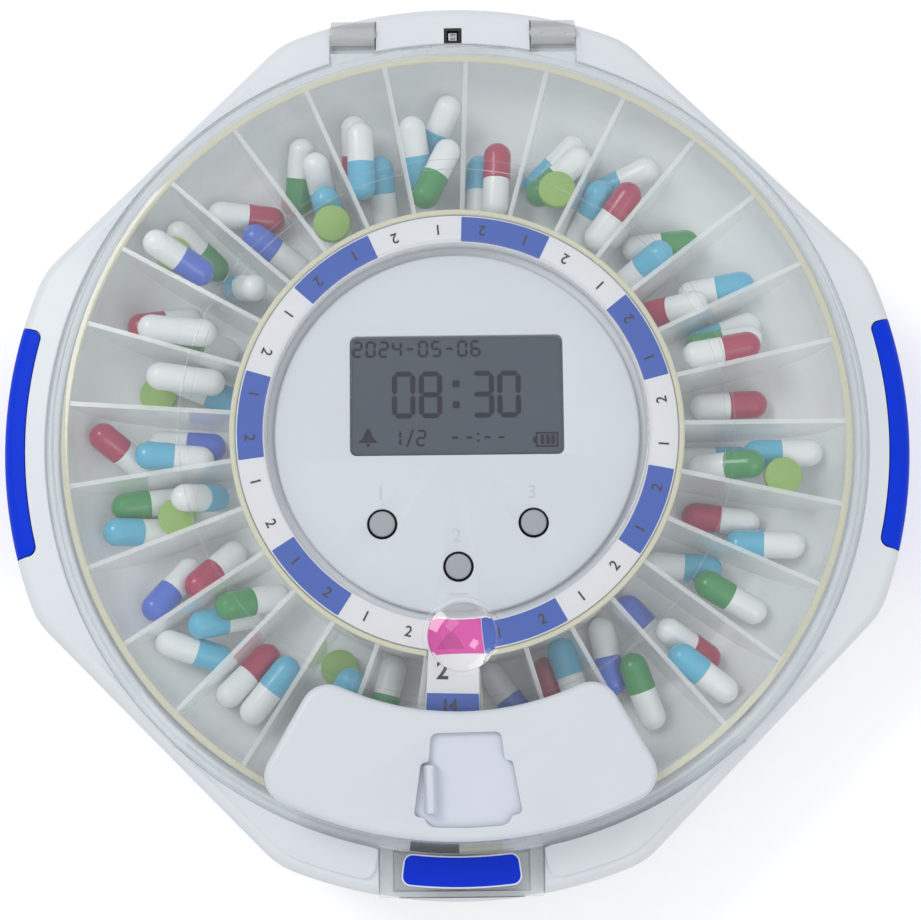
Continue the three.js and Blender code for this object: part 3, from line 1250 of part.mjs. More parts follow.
function lugProfile() {
  const side = new THREE.Shape();
  const root = LID_CORNER_RADIUS - LUG_WIDTH / 2;
  side.moveTo(root, HINGE_Z + LUG_SLOPE);
  side.lineTo(HINGE_Y - LUG_EYE_RADIUS, HINGE_Z + LUG_EYE_RADIUS * LUG_BROW_SHARE);
  side.absarc(HINGE_Y, HINGE_Z, LUG_EYE_RADIUS, Math.PI * LUG_EYE_TURN_SHARE, -Math.PI / 2, true);
  side.lineTo(HINGE_Y - LUG_EYE_RADIUS * LUG_NECK_SHARE, HINGE_Z - LUG_EYE_RADIUS / 2);
  side.lineTo(HINGE_Y - LUG_EYE_RADIUS * LUG_HEEL_SHARE, LID_BOTTOM);
  side.lineTo(root, LID_BOTTOM);
  return side;
}

function hingeLug(side) {
  const lug = { depth: LUG_WIDTH, bevelEnabled: false, curveSegments: 8 };
  const geometry = new THREE.ExtrudeGeometry(lugProfile(), lug);
  geometry.rotateX(Math.PI / 2);
  geometry.rotateZ(Math.PI / 2);
  geometry.translate(side * HINGE_X - LUG_WIDTH / 2, 0, 0);
  const bore = rodAlongX(
    PIN_RADIUS + GAP, side * HINGE_X - LUG_WIDTH, side * HINGE_X + LUG_WIDTH, HINGE_Y, HINGE_Z, TINY_FACETS);
  return toSolid(geometry).subtract(bore);
}

function hingePin(side) {
  const half = LUG_WIDTH / 2 + SIDE_GAP + PIN_GRIP - GAP;
  return rodAlongX(PIN_RADIUS, side * HINGE_X - half, side * HINGE_X + half, HINGE_Y, HINGE_Z, TINY_FACETS);
}

function catchFrame() {
  const half = LATCH_HALF_WIDTH - SIDE_GAP;
  const front = LATCH_FRONT_Y + SIDE_GAP;
  const top = SHOULDER_TOP;
  const inner = CORNER_RADIUS - WELL_RADIUS;
  const outer = block(-half, half, front, inner, top - FRAME_HEIGHT, top)
    .subtract(disc(LATCH_BACK_RADIUS + SIDE_GAP, 0, LID_BOTTOM, 0, 0, LID_FACETS));
  const window = block(-half + FRAME_POST, half - FRAME_POST, front + FRAME_BAR, inner, 0, LID_TOP)
    .subtract(disc(LID_RADIUS - LID_FLANGE_WALL / 2, LID_BOTTOM, LID_TOP, 0, 0, LID_FACETS));
  return outer.subtract(window);
}

function aperture() {
  const middle = rad(TRAY_REST_TURN);
  return prism(sectorShape(
    APERTURE_INNER_RADIUS, APERTURE_OUTER_RADIUS,
    middle - rad(APERTURE_HALF_ANGLE), middle + rad(APERTURE_HALF_ANGLE)), 0, COVER_TOP);
}

function lidShell() {
  const boss = disc(
    LENS_BOSS_RADIUS, LID_TOP - LID_WALL, LID_TOP + LENS_BOSS_PROUD, 0, LENS_Y, FINE_FACETS);
  const outside = joined([hingeLug(1), hingeLug(-1), catchFrame()]).subtract(lidRoom());
  return cutBy(joined([lidDome(), boss, outside]), [
    disc(LENS_RADIUS - LENS_LEDGE, 0, COVER_TOP, 0, LENS_Y, FINE_FACETS),
    disc(LENS_RADIUS + GAP, LID_TOP + LENS_BOSS_PROUD - LENS_RIM - GAP, COVER_TOP, 0, LENS_Y, FINE_FACETS),
    aperture(),
  ]);
}

function lens() {
  const bottom = LID_TOP + LENS_BOSS_PROUD - LENS_RIM;
  const crown = Array.from({ length: 4 }, (_, i) => {
    const share = i / 4;
    return [LENS_RADIUS * share, bottom + LENS_RIM + LENS_CROWN * (1 - share ** 2)];
  });
  return revolve([
    ...crown,
    [LENS_RADIUS, bottom + LENS_RIM],
    [LENS_RADIUS, bottom],
    [0, bottom],
  ], FINE_FACETS).translate([0, LENS_Y, 0]);
}

// Dispensing cover with its doorway, and the shutter that slides under it

function doorwayShape() {
  const shape = new THREE.Shape();
  const [top, bottom] = [-DOORWAY_INNER_RADIUS, -DOORWAY_OUTER_RADIUS];
  const half = (y) => DOORWAY_HALF_WIDTH + DOORWAY_SPREAD * (top - y) / (top - bottom);
  const ear = (y) => half(y) + EAR_WIDTH;
  const right = [
    [half(top), top],
    [half(-EAR_INNER_RADIUS), -EAR_INNER_RADIUS],
    [ear(-EAR_INNER_RADIUS), -EAR_INNER_RADIUS],
    [ear(-EAR_OUTER_RADIUS), -EAR_OUTER_RADIUS],
    [half(-EAR_OUTER_RADIUS), -EAR_OUTER_RADIUS],
    [half(top), bottom],
  ];
  right.forEach(([x, y], i) => (i === 0 ? shape.moveTo(x, y) : shape.lineTo(x, y)));
  right.slice().reverse().forEach(([x, y]) => shape.lineTo(-x, y));
  return shape;
}

function dispenseCover() {
  const bottom = lidEdgeZ + LID_WALL;
  const half = rad(COVER_HALF_ANGLE);
  const outer = prism(roundedSectorShape(
    COVER_INNER_RADIUS, COVER_OUTER_RADIUS, half, COVER_CORNER), bottom, COVER_TOP);
  const sideTurn = COVER_SIDE_WALL / COVER_OUTER_RADIUS;
  const room = prism(roundedSectorShape(
    COVER_INNER_RADIUS + COVER_SIDE_WALL, COVER_OUTER_RADIUS - COVER_SIDE_WALL,
    half - sideTurn * COVER_SIDE_SHARE, COVER_CORNER - COVER_SIDE_WALL), 0, COVER_TOP - COVER_WALL);
  const doorway = prism(doorwayShape(), 0, COVER_TOP + OVERRUN).rotate([0, 0, SHUTTER_REST_TURN]);
  const lidTop = revolve([[0, FOOT_STAND], ...lidOutside(GAP), [0, LID_TOP + GAP]], LID_FACETS);
  return cutBy(outer, [room, doorway, lidTop]);
}

function shutter() {
  const top = SHUTTER_BOTTOM + SHUTTER_WALL;
  const half = rad(SHUTTER_HALF_ANGLE);
  const outline = sectorShape(SHUTTER_INNER_RADIUS, SHUTTER_OUTER_RADIUS, -half, half);
  const plate = prism(outline, SHUTTER_BOTTOM, top);
  const ridgeSide = new THREE.Shape();
  const ridgeTop = COVER_TOP + THUMB_RIDGE_PROUD;
  ridgeSide.moveTo(-THUMB_RIDGE_WIDTH / 2, top - SHUTTER_WALL / 2);
  ridgeSide.lineTo(THUMB_RIDGE_WIDTH / 2, top - SHUTTER_WALL / 2);
  ridgeSide.lineTo(THUMB_RIDGE_TIP / 2, ridgeTop - THUMB_RIDGE_TIP / 4);
  ridgeSide.lineTo(0, ridgeTop);
  ridgeSide.lineTo(-THUMB_RIDGE_TIP / 2, ridgeTop - THUMB_RIDGE_TIP / 4);
  const ridge = new THREE.ExtrudeGeometry(ridgeSide, { depth: THUMB_RIDGE_LENGTH, bevelEnabled: false });
  ridge.rotateX(Math.PI / 2);
  ridge.translate(THUMB_RIDGE_OFFSET, -THUMB_RIDGE_RADIUS + THUMB_RIDGE_LENGTH / 2, 0);
  return plate.add(toSolid(ridge)).rotate([0, 0, SHUTTER_REST_TURN]);
}

// Press latch: button plate on a sprung stem, with a blue plate set in it

function plateShape(gap) {
  const reach = PLATE_HALF_WIDTH / PLATE_INNER_RADIUS;
  return roundedSectorShape(
    PLATE_INNER_RADIUS - gap, PLATE_INNER_RADIUS + PLATE_DEPTH + gap, reach + gap / PLATE_INNER_RADIUS,
    PLATE_CORNER, 6);
}

function latchButton() {
  const half = LATCH_HALF_WIDTH - SIDE_GAP - FRAME_POST - SIDE_GAP;
  const front = LATCH_FRONT_Y + SIDE_GAP + FRAME_BAR + SIDE_GAP;
  const bottom = LATCH_TOP - LATCH_WALL;
  const plate = block(-half, half, front, -WELL_RADIUS, bottom, LATCH_TOP)
    .subtract(disc(LATCH_BACK_RADIUS + 2 * GAP, 0, LID_TOP, 0, 0, LID_FACETS));
  const stemTop = LATCH_TOP - LATCH_WALL / 2;
  const stem = disc(LATCH_STEM_RADIUS, LATCH_STEM_BOTTOM, stemTop, 0, latchStemY(), TINY_FACETS);
  const plateSeat = prism(plateShape(GAP), LATCH_TOP - PLATE_WALL / 2 - GAP, LID_TOP);
  return plate.add(stem).subtract(plateSeat);
}

function latchSpring() {
  return coil(
    LATCH_SPRING_RADIUS, LATCH_SPRING_RADIUS, LATCH_FLOOR + GAP, LATCH_TOP - LATCH_WALL - GAP,
    LATCH_SPRING_TURNS, LATCH_SPRING_WIRE).translate([0, latchStemY(), 0]);
}

function latchPlate() {
  return prism(plateShape(0), LATCH_TOP - PLATE_WALL / 2, LATCH_TOP + PLATE_WALL / 2);
}

// Socket: a black liner in the notch, with the metal shell of the connector standing in it

function socketLiner() {
  const [x, y] = [SOCKET_WIDTH / 2 - GAP, SOCKET_DEPTH / 2 - GAP];
  const top = SHOULDER_TOP - SHOULDER_RISE / 2;
  const body = block(-x, x, SOCKET_Y - y, SOCKET_Y + y, SOCKET_BOTTOM + GAP, top);
  return body.subtract(block(
    -x + SOCKET_LINER, x - SOCKET_LINER, SOCKET_Y - y + SOCKET_LINER, SOCKET_Y + y - SOCKET_LINER,
    SOCKET_BOTTOM + GAP + SOCKET_LINER, LID_TOP));
}

function powerSocket() {
  const inset = GAP + SOCKET_LINER + GAP;
  const [x, y] = [SOCKET_WIDTH / 2 - inset, SOCKET_DEPTH / 2 - inset];
  const bottom = SOCKET_BOTTOM + GAP + SOCKET_LINER + GAP;
  const top = SHOULDER_TOP - SHOULDER_RISE / 2 - SOCKET_LINER;
  const shell = block(-x, x, SOCKET_Y - y, SOCKET_Y + y, bottom, top);
  const inward = SOCKET_SHELL_WALL;
  const outward = SOCKET_SHELL_WALL / 2;
  const sideY = (side) => SOCKET_Y + side * y / 2;
  const slots = [-1, 1].map((side) => block(
    -x / 2, x / 2, sideY(side) - inward, sideY(side) + outward, top - SOCKET_LINER, LID_TOP));
  return cutBy(shell, slots);
}

// Assembly

const tray = new THREE.Group();
tray.rotation.z = rad(TRAY_REST_TURN);
box.add(tray);

addPiece('base_shell', baseShell(), 'white');
addPiece('deck_shell', deckShell(), 'white');
addPiece('grip_right', gripPiece(1), 'blue');
addPiece('grip_left', gripPiece(-1), 'blue');
addPiece('hub_cap', hubCap(), 'hubWhite');
addPiece('display_window', prism(
  displayRectangle(-GAP), HUB_TOP - WINDOW_SINK - WINDOW_WALL, HUB_TOP - WINDOW_SINK), 'display');
addPiece('display_module', displayModule(), 'display');
addPiece('main_board', mainBoard(), 'board');
addPiece('buzzer', disc(
  BUZZER_RADIUS, BOARD_TOP - BOARD_WALL - GAP - BUZZER_HEIGHT, BOARD_TOP - BOARD_WALL - GAP,
  BOARD_RADIUS * BUZZER_PLACE_SHARES[0], BOARD_RADIUS * BUZZER_PLACE_SHARES[1]), 'black');
buttonPlaces.forEach((place, i) => {
  addPiece(`button_${i + 1}`, button(place), 'buttonGrey');
  addPiece(`button_switch_${i + 1}`, tactSwitch(place), 'black');
});
postPlaces.forEach((place, i) => addPiece(`board_screw_${i + 1}`, boardScrew(place), 'steel'));
screwPlaces.forEach((place, i) => addPiece(`housing_screw_${i + 1}`, housingScrew(place), 'steel'));
footPlaces.forEach((place, i) => addPiece(`rubber_foot_${i + 1}`, rubberFoot(place), 'rubber'));

addPiece('pill_tray', pillTray(), 'frosted', tray);
addPiece('dose_ring', doseRing(), 'doseWhite', tray);
addPiece('drive_gear', driveGear(), 'gearWhite');
addPiece('gear_pin', gearPin(), 'steel');
addPiece('motor_pinion', motorPinion(), 'brass');
addPiece('drive_motor', driveMotor(), 'steel');
addPiece('home_sensor', homeSensor(), 'black');

for (let i = 0; i < CELLS; i++) {
  addPiece(`cell_${i + 1}`, cell(i), 'cell');
  addPiece(`contact_spring_${i + 1}`, contactSpring(i), 'steel');
}
addPiece('contact_plate_right', contactPlate(1), 'steel');
addPiece('contact_plate_left', contactPlate(-1), 'steel');
addPiece('battery_door', batteryDoor(), 'white');

addPiece('lid_shell', lidShell(), 'clear');
addPiece('lens', lens(), 'clear');
addPiece('dispense_cover', dispenseCover(), 'white');
addPiece('shutter', shutter(), 'white');
addPiece('hinge_pin_right', hingePin(1), 'steel');
addPiece('hinge_pin_left', hingePin(-1), 'steel');

addPiece('latch_button', latchButton(), 'clear');
addPiece('latch_spring', latchSpring(), 'steel');
addPiece('latch_plate', latchPlate(), 'blue');
addPiece('socket_liner', socketLiner(), 'black');
addPiece('power_socket', powerSocket(), 'steel');

export default box;
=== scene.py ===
from math import asin, atan2, cos, hypot, pi, radians, sin, sqrt

import bmesh
import bpy
from mathutils import Matrix, Vector


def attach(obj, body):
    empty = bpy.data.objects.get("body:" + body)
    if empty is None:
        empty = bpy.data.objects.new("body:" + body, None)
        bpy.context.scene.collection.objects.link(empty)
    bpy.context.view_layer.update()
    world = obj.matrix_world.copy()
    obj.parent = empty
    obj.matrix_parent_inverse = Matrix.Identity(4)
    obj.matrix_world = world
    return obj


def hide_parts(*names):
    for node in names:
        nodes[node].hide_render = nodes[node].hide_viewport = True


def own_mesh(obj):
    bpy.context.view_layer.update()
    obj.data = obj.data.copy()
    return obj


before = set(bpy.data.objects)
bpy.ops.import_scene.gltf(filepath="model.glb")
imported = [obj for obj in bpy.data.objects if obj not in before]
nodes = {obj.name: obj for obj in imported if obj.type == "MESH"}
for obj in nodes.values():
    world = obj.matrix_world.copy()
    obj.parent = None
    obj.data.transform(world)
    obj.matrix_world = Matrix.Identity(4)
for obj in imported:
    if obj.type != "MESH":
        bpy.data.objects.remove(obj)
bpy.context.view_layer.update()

# Sizes in millimetres; meshes are scaled to metres when a piece is made
MM = 0.001
TURN = 2 * pi
FRONT = -pi / 2

BODY_RADIUS = 109.3
FLAT_DISTANCE = 101.5
CORNER_RADIUS = 18.0
SEAT_RADIUS = 98.6
WELL_RADIUS = 95.4
FOOT_STAND = 1.2
PART_LINE = 26.0
SIDE_TOP = 34.6
EDGE_ROUND = 3.6
SHOULDER_TOP = 40.2
BOTTOM_INSET = 13.5
HOUSING_WALL = 2.6
WELL_FLOOR = 21.6
HUB_TOP = 45.2
POCKETS = 29
REST_TURN = radians(-1.94)
RING_TURN = radians(-1.46)
POCKET_TURN = TURN / POCKETS
TRAY_INNER = 52.3
TRAY_RIM = 93.9
TRAY_FLOOR = 23.2
LID_RADIUS = 97.9
LENS_X, LENS_Y = 0.7, -49.0
HINGE_X, HINGE_Y, HINGE_Z = 24.8, 101.7, 38.2
LUG_WIDTH = 10.8
LATCH_FRONT = -108.3
COVER_TOP = 54.8
SEAT_TOP = 39.0
EYE_RADIUS = 3.3
FOOT_CIRCLE, SCREW_CIRCLE = 84.0, 86.0
GEAR_X, MOTOR_X = 43.5, 27.5
SHUTTER_TURN = radians(1.05)
DISPLAY_Y = 9.0
# Cuts that are open upwards end at this height
CUT_TOP = 53.2


# Shaping

def outline(points, plane="XZ"):
    """A closed face from corner points; a third number rounds that corner over that reach."""
    bm = bmesh.new()
    corners = []
    for point in points:
        place = (point[0], 0, point[1]) if plane == "XZ" else (point[0], point[1], 0)
        corners.append(bm.verts.new(place))
    bm.faces.new(corners)
    for point, corner in zip(points, corners):
        if len(point) > 2 and point[2] > 0:
            bmesh.ops.bevel(
                bm, geom=[corner], offset=point[2], offset_type="OFFSET", affect="VERTICES",
                segments=5, profile=0.5, material=-1)
    return bm


def drawn_out(bm, reach):
    """A flat face drawn out along a vector to a solid."""
    raised = bmesh.ops.extrude_face_region(bm, geom=list(bm.faces))["geom"]
    bmesh.ops.translate(bm, verts=[g for g in raised if isinstance(g, bmesh.types.BMVert)], vec=reach)
    bmesh.ops.recalc_face_normals(bm, faces=bm.faces)
    return bm


def turned(points, steps=192):
    """A section of (radius, height) points spun about Z."""
    bm = outline(points)
    bmesh.ops.delete(bm, geom=list(bm.faces), context="FACES_ONLY")
    bmesh.ops.spin(
        bm, geom=list(bm.verts) + list(bm.edges), cent=(0, 0, 0), axis=(0, 0, 1), dvec=(0, 0, 0),
        angle=TURN, steps=steps, use_merge=True, use_duplicate=False)
    bmesh.ops.remove_doubles(bm, verts=bm.verts, dist=1e-4)
    bmesh.ops.recalc_face_normals(bm, faces=bm.faces)
    return bm


def slab(points, z0, z1, top_edge=0.0, bottom_edge=0.0, steps=4):
    """A plan outline raised from z0 to z1, with its upper and lower edges rounded."""
    bm = drawn_out(shift(outline(points, "XY"), z=z0), (0, 0, z1 - z0))
    for reach, height in ((top_edge, z1), (bottom_edge, z0)):
        if reach > 0:
            edges = [e for e in bm.edges if all(abs(v.co.z - height) < 1e-5 for v in e.verts)]
            bmesh.ops.bevel(
                bm, geom=edges, offset=reach, offset_type="OFFSET", affect="EDGES",
                segments=steps, profile=0.5, material=-1)
    return bm


def block(x0, x1, y0, y1, z0, z1):
    bm = bmesh.new()
    bmesh.ops.create_cube(bm, size=1)
    bmesh.ops.scale(bm, verts=bm.verts, vec=(x1 - x0, y1 - y0, z1 - z0))
    return shift(bm, (x0 + x1) / 2, (y0 + y1) / 2, (z0 + z1) / 2)


def disc(radius, z0, z1, x=0.0, y=0.0, facets=48):
    bm = bmesh.new()
    bmesh.ops.create_cone(
        bm, cap_ends=True, segments=facets, radius1=radius, radius2=radius, depth=z1 - z0)
    return shift(bm, x, y, (z0 + z1) / 2)


def rod(radius, x0, x1, y, z, facets=32):
    """A round rod along X."""
    return shift(turn(disc(radius, x0, x1, facets=facets), pi / 2, "Y"), 0, y, z)


def turn(bm, angle, axis="Z"):
    bmesh.ops.rotate(bm, verts=bm.verts, cent=(0, 0, 0), matrix=Matrix.Rotation(angle, 3, axis))
    return bm


def shift(bm, x=0.0, y=0.0, z=0.0):
    bmesh.ops.translate(bm, verts=bm.verts, vec=(x, y, z))
    return bm


def mirrored(bm):
    bmesh.ops.scale(bm, verts=bm.verts, vec=(-1, 1, 1))
    bmesh.ops.reverse_faces(bm, faces=bm.faces)
    return bm


def together(parts):
    """Several loose shapes as one."""
    whole = bmesh.new()
    for part in parts:
        mesh = bpy.data.meshes.new("part")
        part.to_mesh(mesh)
        part.free()
        whole.from_mesh(mesh)
        bpy.data.meshes.remove(mesh)
    return whole


def discs(places, radius, z0, z1, facets=48):
    return together([disc(radius, z0, z1, x, y, facets) for x, y in places])


def in_scene(name, data):
    obj = bpy.data.objects.new(name, data)
    bpy.context.scene.collection.objects.link(obj)
    return obj


def as_object(bm, name="shape"):
    """A finished shape as an object, in metres."""
    bmesh.ops.scale(bm, verts=bm.verts, vec=(MM, MM, MM))
    mesh = bpy.data.meshes.new(name)
    bm.to_mesh(mesh)
    bm.free()
    return in_scene(name, mesh)


def copy_of(obj):
    return in_scene(obj.name, obj.data.copy())


def turn_object(obj, angle):
    """Turns the mesh about Z and leaves the object unturned."""
    bm = bmesh.new()
    bm.from_mesh(obj.data)
    turn(bm, angle)
    bm.to_mesh(obj.data)
    bm.free()


def as_seen(obj):
    """The object's mesh with its modifiers applied."""
    return bpy.data.meshes.new_from_object(obj.evaluated_get(bpy.context.evaluated_depsgraph_get()))


def combine(target, shape, operation):
    """The target object joined with, cut by or kept within a shape."""
    tool = shape if isinstance(shape, bpy.types.Object) else as_object(shape)
    step = target.modifiers.new("combine", "BOOLEAN")
    step.operation = operation
    step.solver = "MANIFOLD"
    step.object = tool
    mesh = as_seen(target)
    target.modifiers.clear()
    target.data = mesh
    bpy.data.objects.remove(tool)
    return target


def join(target, *shapes):
    for shape in shapes:
        combine(target, shape, "UNION")
    return target


def cut(target, *shapes):
    for shape in shapes:
        combine(target, shape, "DIFFERENCE")
    return target


def within(target, shape):
    return combine(target, shape, "INTERSECT")


def soften(obj, reach, steps=2, angle=38):
    """Rounds the edges that are sharper than an angle."""
    step = obj.modifiers.new("soften", "BEVEL")
    step.width = reach * MM
    step.segments = steps
    step.limit_method = "ANGLE"
    step.angle_limit = radians(angle)
    step.miter_outer = "MITER_ARC"
    step.use_clamp_overlap = True
    mesh = as_seen(obj)
    obj.modifiers.clear()
    obj.data = mesh
    return obj


def place_piece(obj, name, material, body, slot=None, stands_for=(), sharp=35):
    """Names a finished shape, gives it its material and shading and lets it ride on its body."""
    obj.name = name
    obj.data.name = name
    obj.data.shade_smooth()
    obj.data.set_sharp_from_angle(angle=radians(sharp))
    chosen = [face.material_index for face in obj.data.polygons]
    obj.data.materials.clear()
    for one in material if isinstance(material, (list, tuple)) else [material]:
        obj.data.materials.append(one)
    if len(obj.data.materials) > 1:
        obj.data.polygons.foreach_set("material_index", chosen)
    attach(obj, body)
    if stands_for:
        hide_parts(*stands_for)
    return obj


def paint_faces(obj, index, test):
    """Gives the faces that pass a test of centre and normal, in millimetres, another material slot."""
    for face in obj.data.polygons:
        if test(face.center / MM, face.normal):
            face.material_index = index


def around(circle, count, first):
    return [(circle * cos(first + TURN * i / count), circle * sin(first + TURN * i / count))
            for i in range(count)]


def polar(r, a):
    """A place in plan, by its radius and its angle from the front."""
    return (r * cos(FRONT + a), r * sin(FRONT + a))


def sector(r0, r1, start, end, steps=12, corner=0.0):
    """Plan outline of a sector about the front direction, between two angles."""
    order = list(range(steps + 1))
    return [
        (*polar(r, start + (end - start) * i / steps), corner if i in (0, steps) else 0)
        for r, places in ((r1, order), (r0, reversed(order))) for i in places]


def soft_sector(r0, r1, half, corner, steps=24, turns=8):
    """A sector whose four corners are tangent arcs."""
    outer = asin(corner / (r1 - corner))
    inner = asin(corner / (r0 + corner))
    far, near = (r1 - corner) * cos(outer), (r0 + corner) * cos(inner)

    def arc(r, start, end):
        return [polar(r, start + (end - start) * i / steps) for i in range(steps + 1)]

    def bend(r, a, start, sweep):
        cx, cy = polar(r, a)
        angles = [start + sweep * i / turns for i in range(1, turns)]
        return [(cx + corner * cos(t), cy + corner * sin(t)) for t in angles]

    return (
        arc(r1, outer - half, half - outer)
        + bend(r1 - corner, half - outer, FRONT + half - outer, pi / 2 + outer)
        + [polar(far, half), polar(near, half)]
        + bend(r0 + corner, half - inner, FRONT + half + pi / 2, pi / 2 - inner)
        + arc(r0, half - inner, inner - half)
        + bend(r0 + corner, inner - half, FRONT + inner - half + pi, pi / 2 - inner)
        + [polar(near, -half), polar(far, -half)]
        + bend(r1 - corner, outer - half, FRONT - half - pi / 2, pi / 2 + outer))


def panel(x0, x1, y0, y1, corner=0.0):
    return [(x0, y0, corner), (x1, y0, corner), (x1, y1, corner), (x0, y1, corner)]


# The housing outline

def outline_radius(angle, inset=0.0):
    """A circle cut by four diagonal flats, with rounded corners between them."""
    fold = abs(angle % (pi / 2) - pi / 4)
    u = FLAT_DISTANCE - CORNER_RADIUS
    v = sqrt((BODY_RADIUS - CORNER_RADIUS) ** 2 - u ** 2)
    if fold <= atan2(v, FLAT_DISTANCE - inset):
        return (FLAT_DISTANCE - inset) / cos(fold)
    if fold >= atan2(v, u):
        return BODY_RADIUS - inset
    along = u * cos(fold) + v * sin(fold)
    return along + sqrt(along ** 2 - u ** 2 - v ** 2 + (CORNER_RADIUS - inset) ** 2)


def to_outline(bm, inner, edge):
    """Draws a round shape out to the housing outline.
    Inside the inner radius nothing moves, and past the edge inset the outline is followed exactly."""
    for vert in bm.verts:
        r = hypot(vert.co.x, vert.co.y)
        if r < 1e-6:
            continue
        angle = atan2(vert.co.y, vert.co.x)
        inset = BODY_RADIUS - r
        if inset <= edge:
            target = outline_radius(angle, inset)
        elif r > inner:
            share = (r - inner) / (BODY_RADIUS - edge - inner)
            target = inner + share * (outline_radius(angle, edge) - inner)
        else:
            continue
        vert.co.x *= target / r
        vert.co.y *= target / r
    return bm


def quarter(steps):
    """The angles of a quarter turn, from none to all of it."""
    return [pi / 2 * i / steps for i in range(steps + 1)]


def bowl_side(inset):
    """Section of the lower housing's side, from its bottom to the part line."""
    rise = PART_LINE - FOOT_STAND - min(inset, 2.0)
    return [(BODY_RADIUS - inset - BOTTOM_INSET * (1 - sin(t)), PART_LINE - rise * cos(t))
            for t in quarter(18)]


def shoulder_side(inset):
    """Section of the upper housing's rounded edge, from its side to its top."""
    return [(BODY_RADIUS - inset - EDGE_ROUND * (1 - cos(t)), SIDE_TOP + EDGE_ROUND * sin(t) - inset)
            for t in quarter(10)]


HOUSING_STEPS = 288
# Half the gap between the two housings
HALF_GAP = 0.15
EDGE_INSET = BOTTOM_INSET + HOUSING_WALL


def housing_form(inset):
    """The outer form of the housing, filled, drawn in by an inset."""
    lower = turned([(0, FOOT_STAND + inset)] + bowl_side(inset) + [(0, PART_LINE)], HOUSING_STEPS)
    to_outline(lower, 0.001, EDGE_INSET)
    upper = turned(
        [(0, PART_LINE)] + [(BODY_RADIUS - inset, PART_LINE)] + shoulder_side(inset)
        + [(SEAT_RADIUS, SHOULDER_TOP - inset), (0, SHOULDER_TOP - inset)], HOUSING_STEPS)
    to_outline(upper, SEAT_RADIUS, EDGE_ROUND + inset)
    return join(as_object(lower), upper)


def grip_bar(side, gap):
    inner = BODY_RADIUS - 5.4 - gap
    half = (28.6 + gap) / BODY_RADIUS
    plan = soft_sector(inner, BODY_RADIUS + 3.7, half, 2.2)
    return turn(slab(plan, 9.0 - gap, SHOULDER_TOP + 1.5), side * pi / 2)


# Surfaces

# How strongly the plastics and the lens bend light
PLASTIC_BEND, LENS_BEND = 1.46, 1.585


def shader(name):
    material = bpy.data.materials.new(name)
    material.use_nodes = True
    tree = material.node_tree
    tree.nodes.clear()
    return material, tree, add(tree, "OutputMaterial")


def add(tree, kind, **inputs):
    """A shader node with the values of its inputs, an underscore for each space in their names."""
    node = tree.nodes.new("ShaderNode" + kind)
    for name, value in inputs.items():
        node.inputs[name.replace("_", " ")].default_value = value
    return node


def maths(tree, operation, *terms):
    """A calculation with two terms, each a number or another node's output."""
    step = add(tree, "Math")
    step.operation = operation
    for place, term in zip(step.inputs, terms):
        if isinstance(term, bpy.types.NodeSocket):
            tree.links.new(term, place)
        else:
            place.default_value = term
    return step.outputs[0]


def mixed(tree, share, first, second):
    """Two surfaces mixed by a share."""
    mix = add(tree, "MixShader")
    for place, output in zip(mix.inputs, (share, first, second)):
        tree.links.new(output, place)
    return mix.outputs[0]


def mixed_colour(tree, share, first, second):
    mix = add(tree, "Mix")
    mix.data_type = "RGBA"
    mix.inputs[6].default_value = (*first, 1)
    mix.inputs[7].default_value = (*second, 1)
    tree.links.new(share, mix.inputs[0])
    return mix.outputs[2]


def grain(tree, scale, detail=2.0, roughness=0.5):
    """Fine irregularity that follows the piece, from its own coordinates."""
    noise = add(tree, "TexNoise", Scale=scale, Detail=detail, Roughness=roughness)
    tree.links.new(add(tree, "TexCoord").outputs["Object"], noise.inputs["Vector"])
    return noise.outputs["Fac"]


def spread(tree, noise, low, high):
    """A noise value carried to a range."""
    step = add(tree, "MapRange", From_Min=0.3, From_Max=0.7, To_Min=low, To_Max=high)
    tree.links.new(noise, step.inputs["Value"])
    return step.outputs["Result"]


def tone(tree, noise, colour, change):
    """Two close tones of one colour, mixed by a noise."""
    paler = [min(1.0, c * (1 + change)) for c in colour]
    return mixed_colour(tree, noise, [c * (1 - change) for c in colour], paler)


def solid_look(name, colour, rough, change=0.02, relief=0.05, fine=1800.0, metal=0.0, coat=0.0, gloss=0.5):
    """An opaque surface: mould grain, slightly uneven gloss and tone."""
    material, tree, out = shader(name)
    body = add(
        tree, "BsdfPrincipled", Metallic=metal, Coat_Weight=coat, Coat_Roughness=0.12, IOR=PLASTIC_BEND,
        Specular_IOR_Level=gloss)
    broad = grain(tree, 60.0)
    close = grain(tree, fine, 4.0, 0.6)
    tree.links.new(tone(tree, broad, colour, change), body.inputs["Base Color"])
    tree.links.new(spread(tree, close, rough * 0.88, rough * 1.12), body.inputs["Roughness"])
    bump = add(tree, "Bump", Strength=relief, Distance=0.0002)
    tree.links.new(close, bump.inputs["Height"])
    tree.links.new(bump.outputs["Normal"], body.inputs["Normal"])
    tree.links.new(body.outputs["BSDF"], out.inputs["Surface"])
    return material


def let_lamps_through(tree, out, surface, shade):
    """Shadow rays pass straight through the surface and are only tinted by a shade."""
    lit = add(tree, "BsdfTransparent", Color=(*shade, 1))
    path = add(tree, "LightPath")
    tree.links.new(mixed(tree, path.outputs["Is Shadow Ray"], surface, lit.outputs[0]), out.inputs["Surface"])


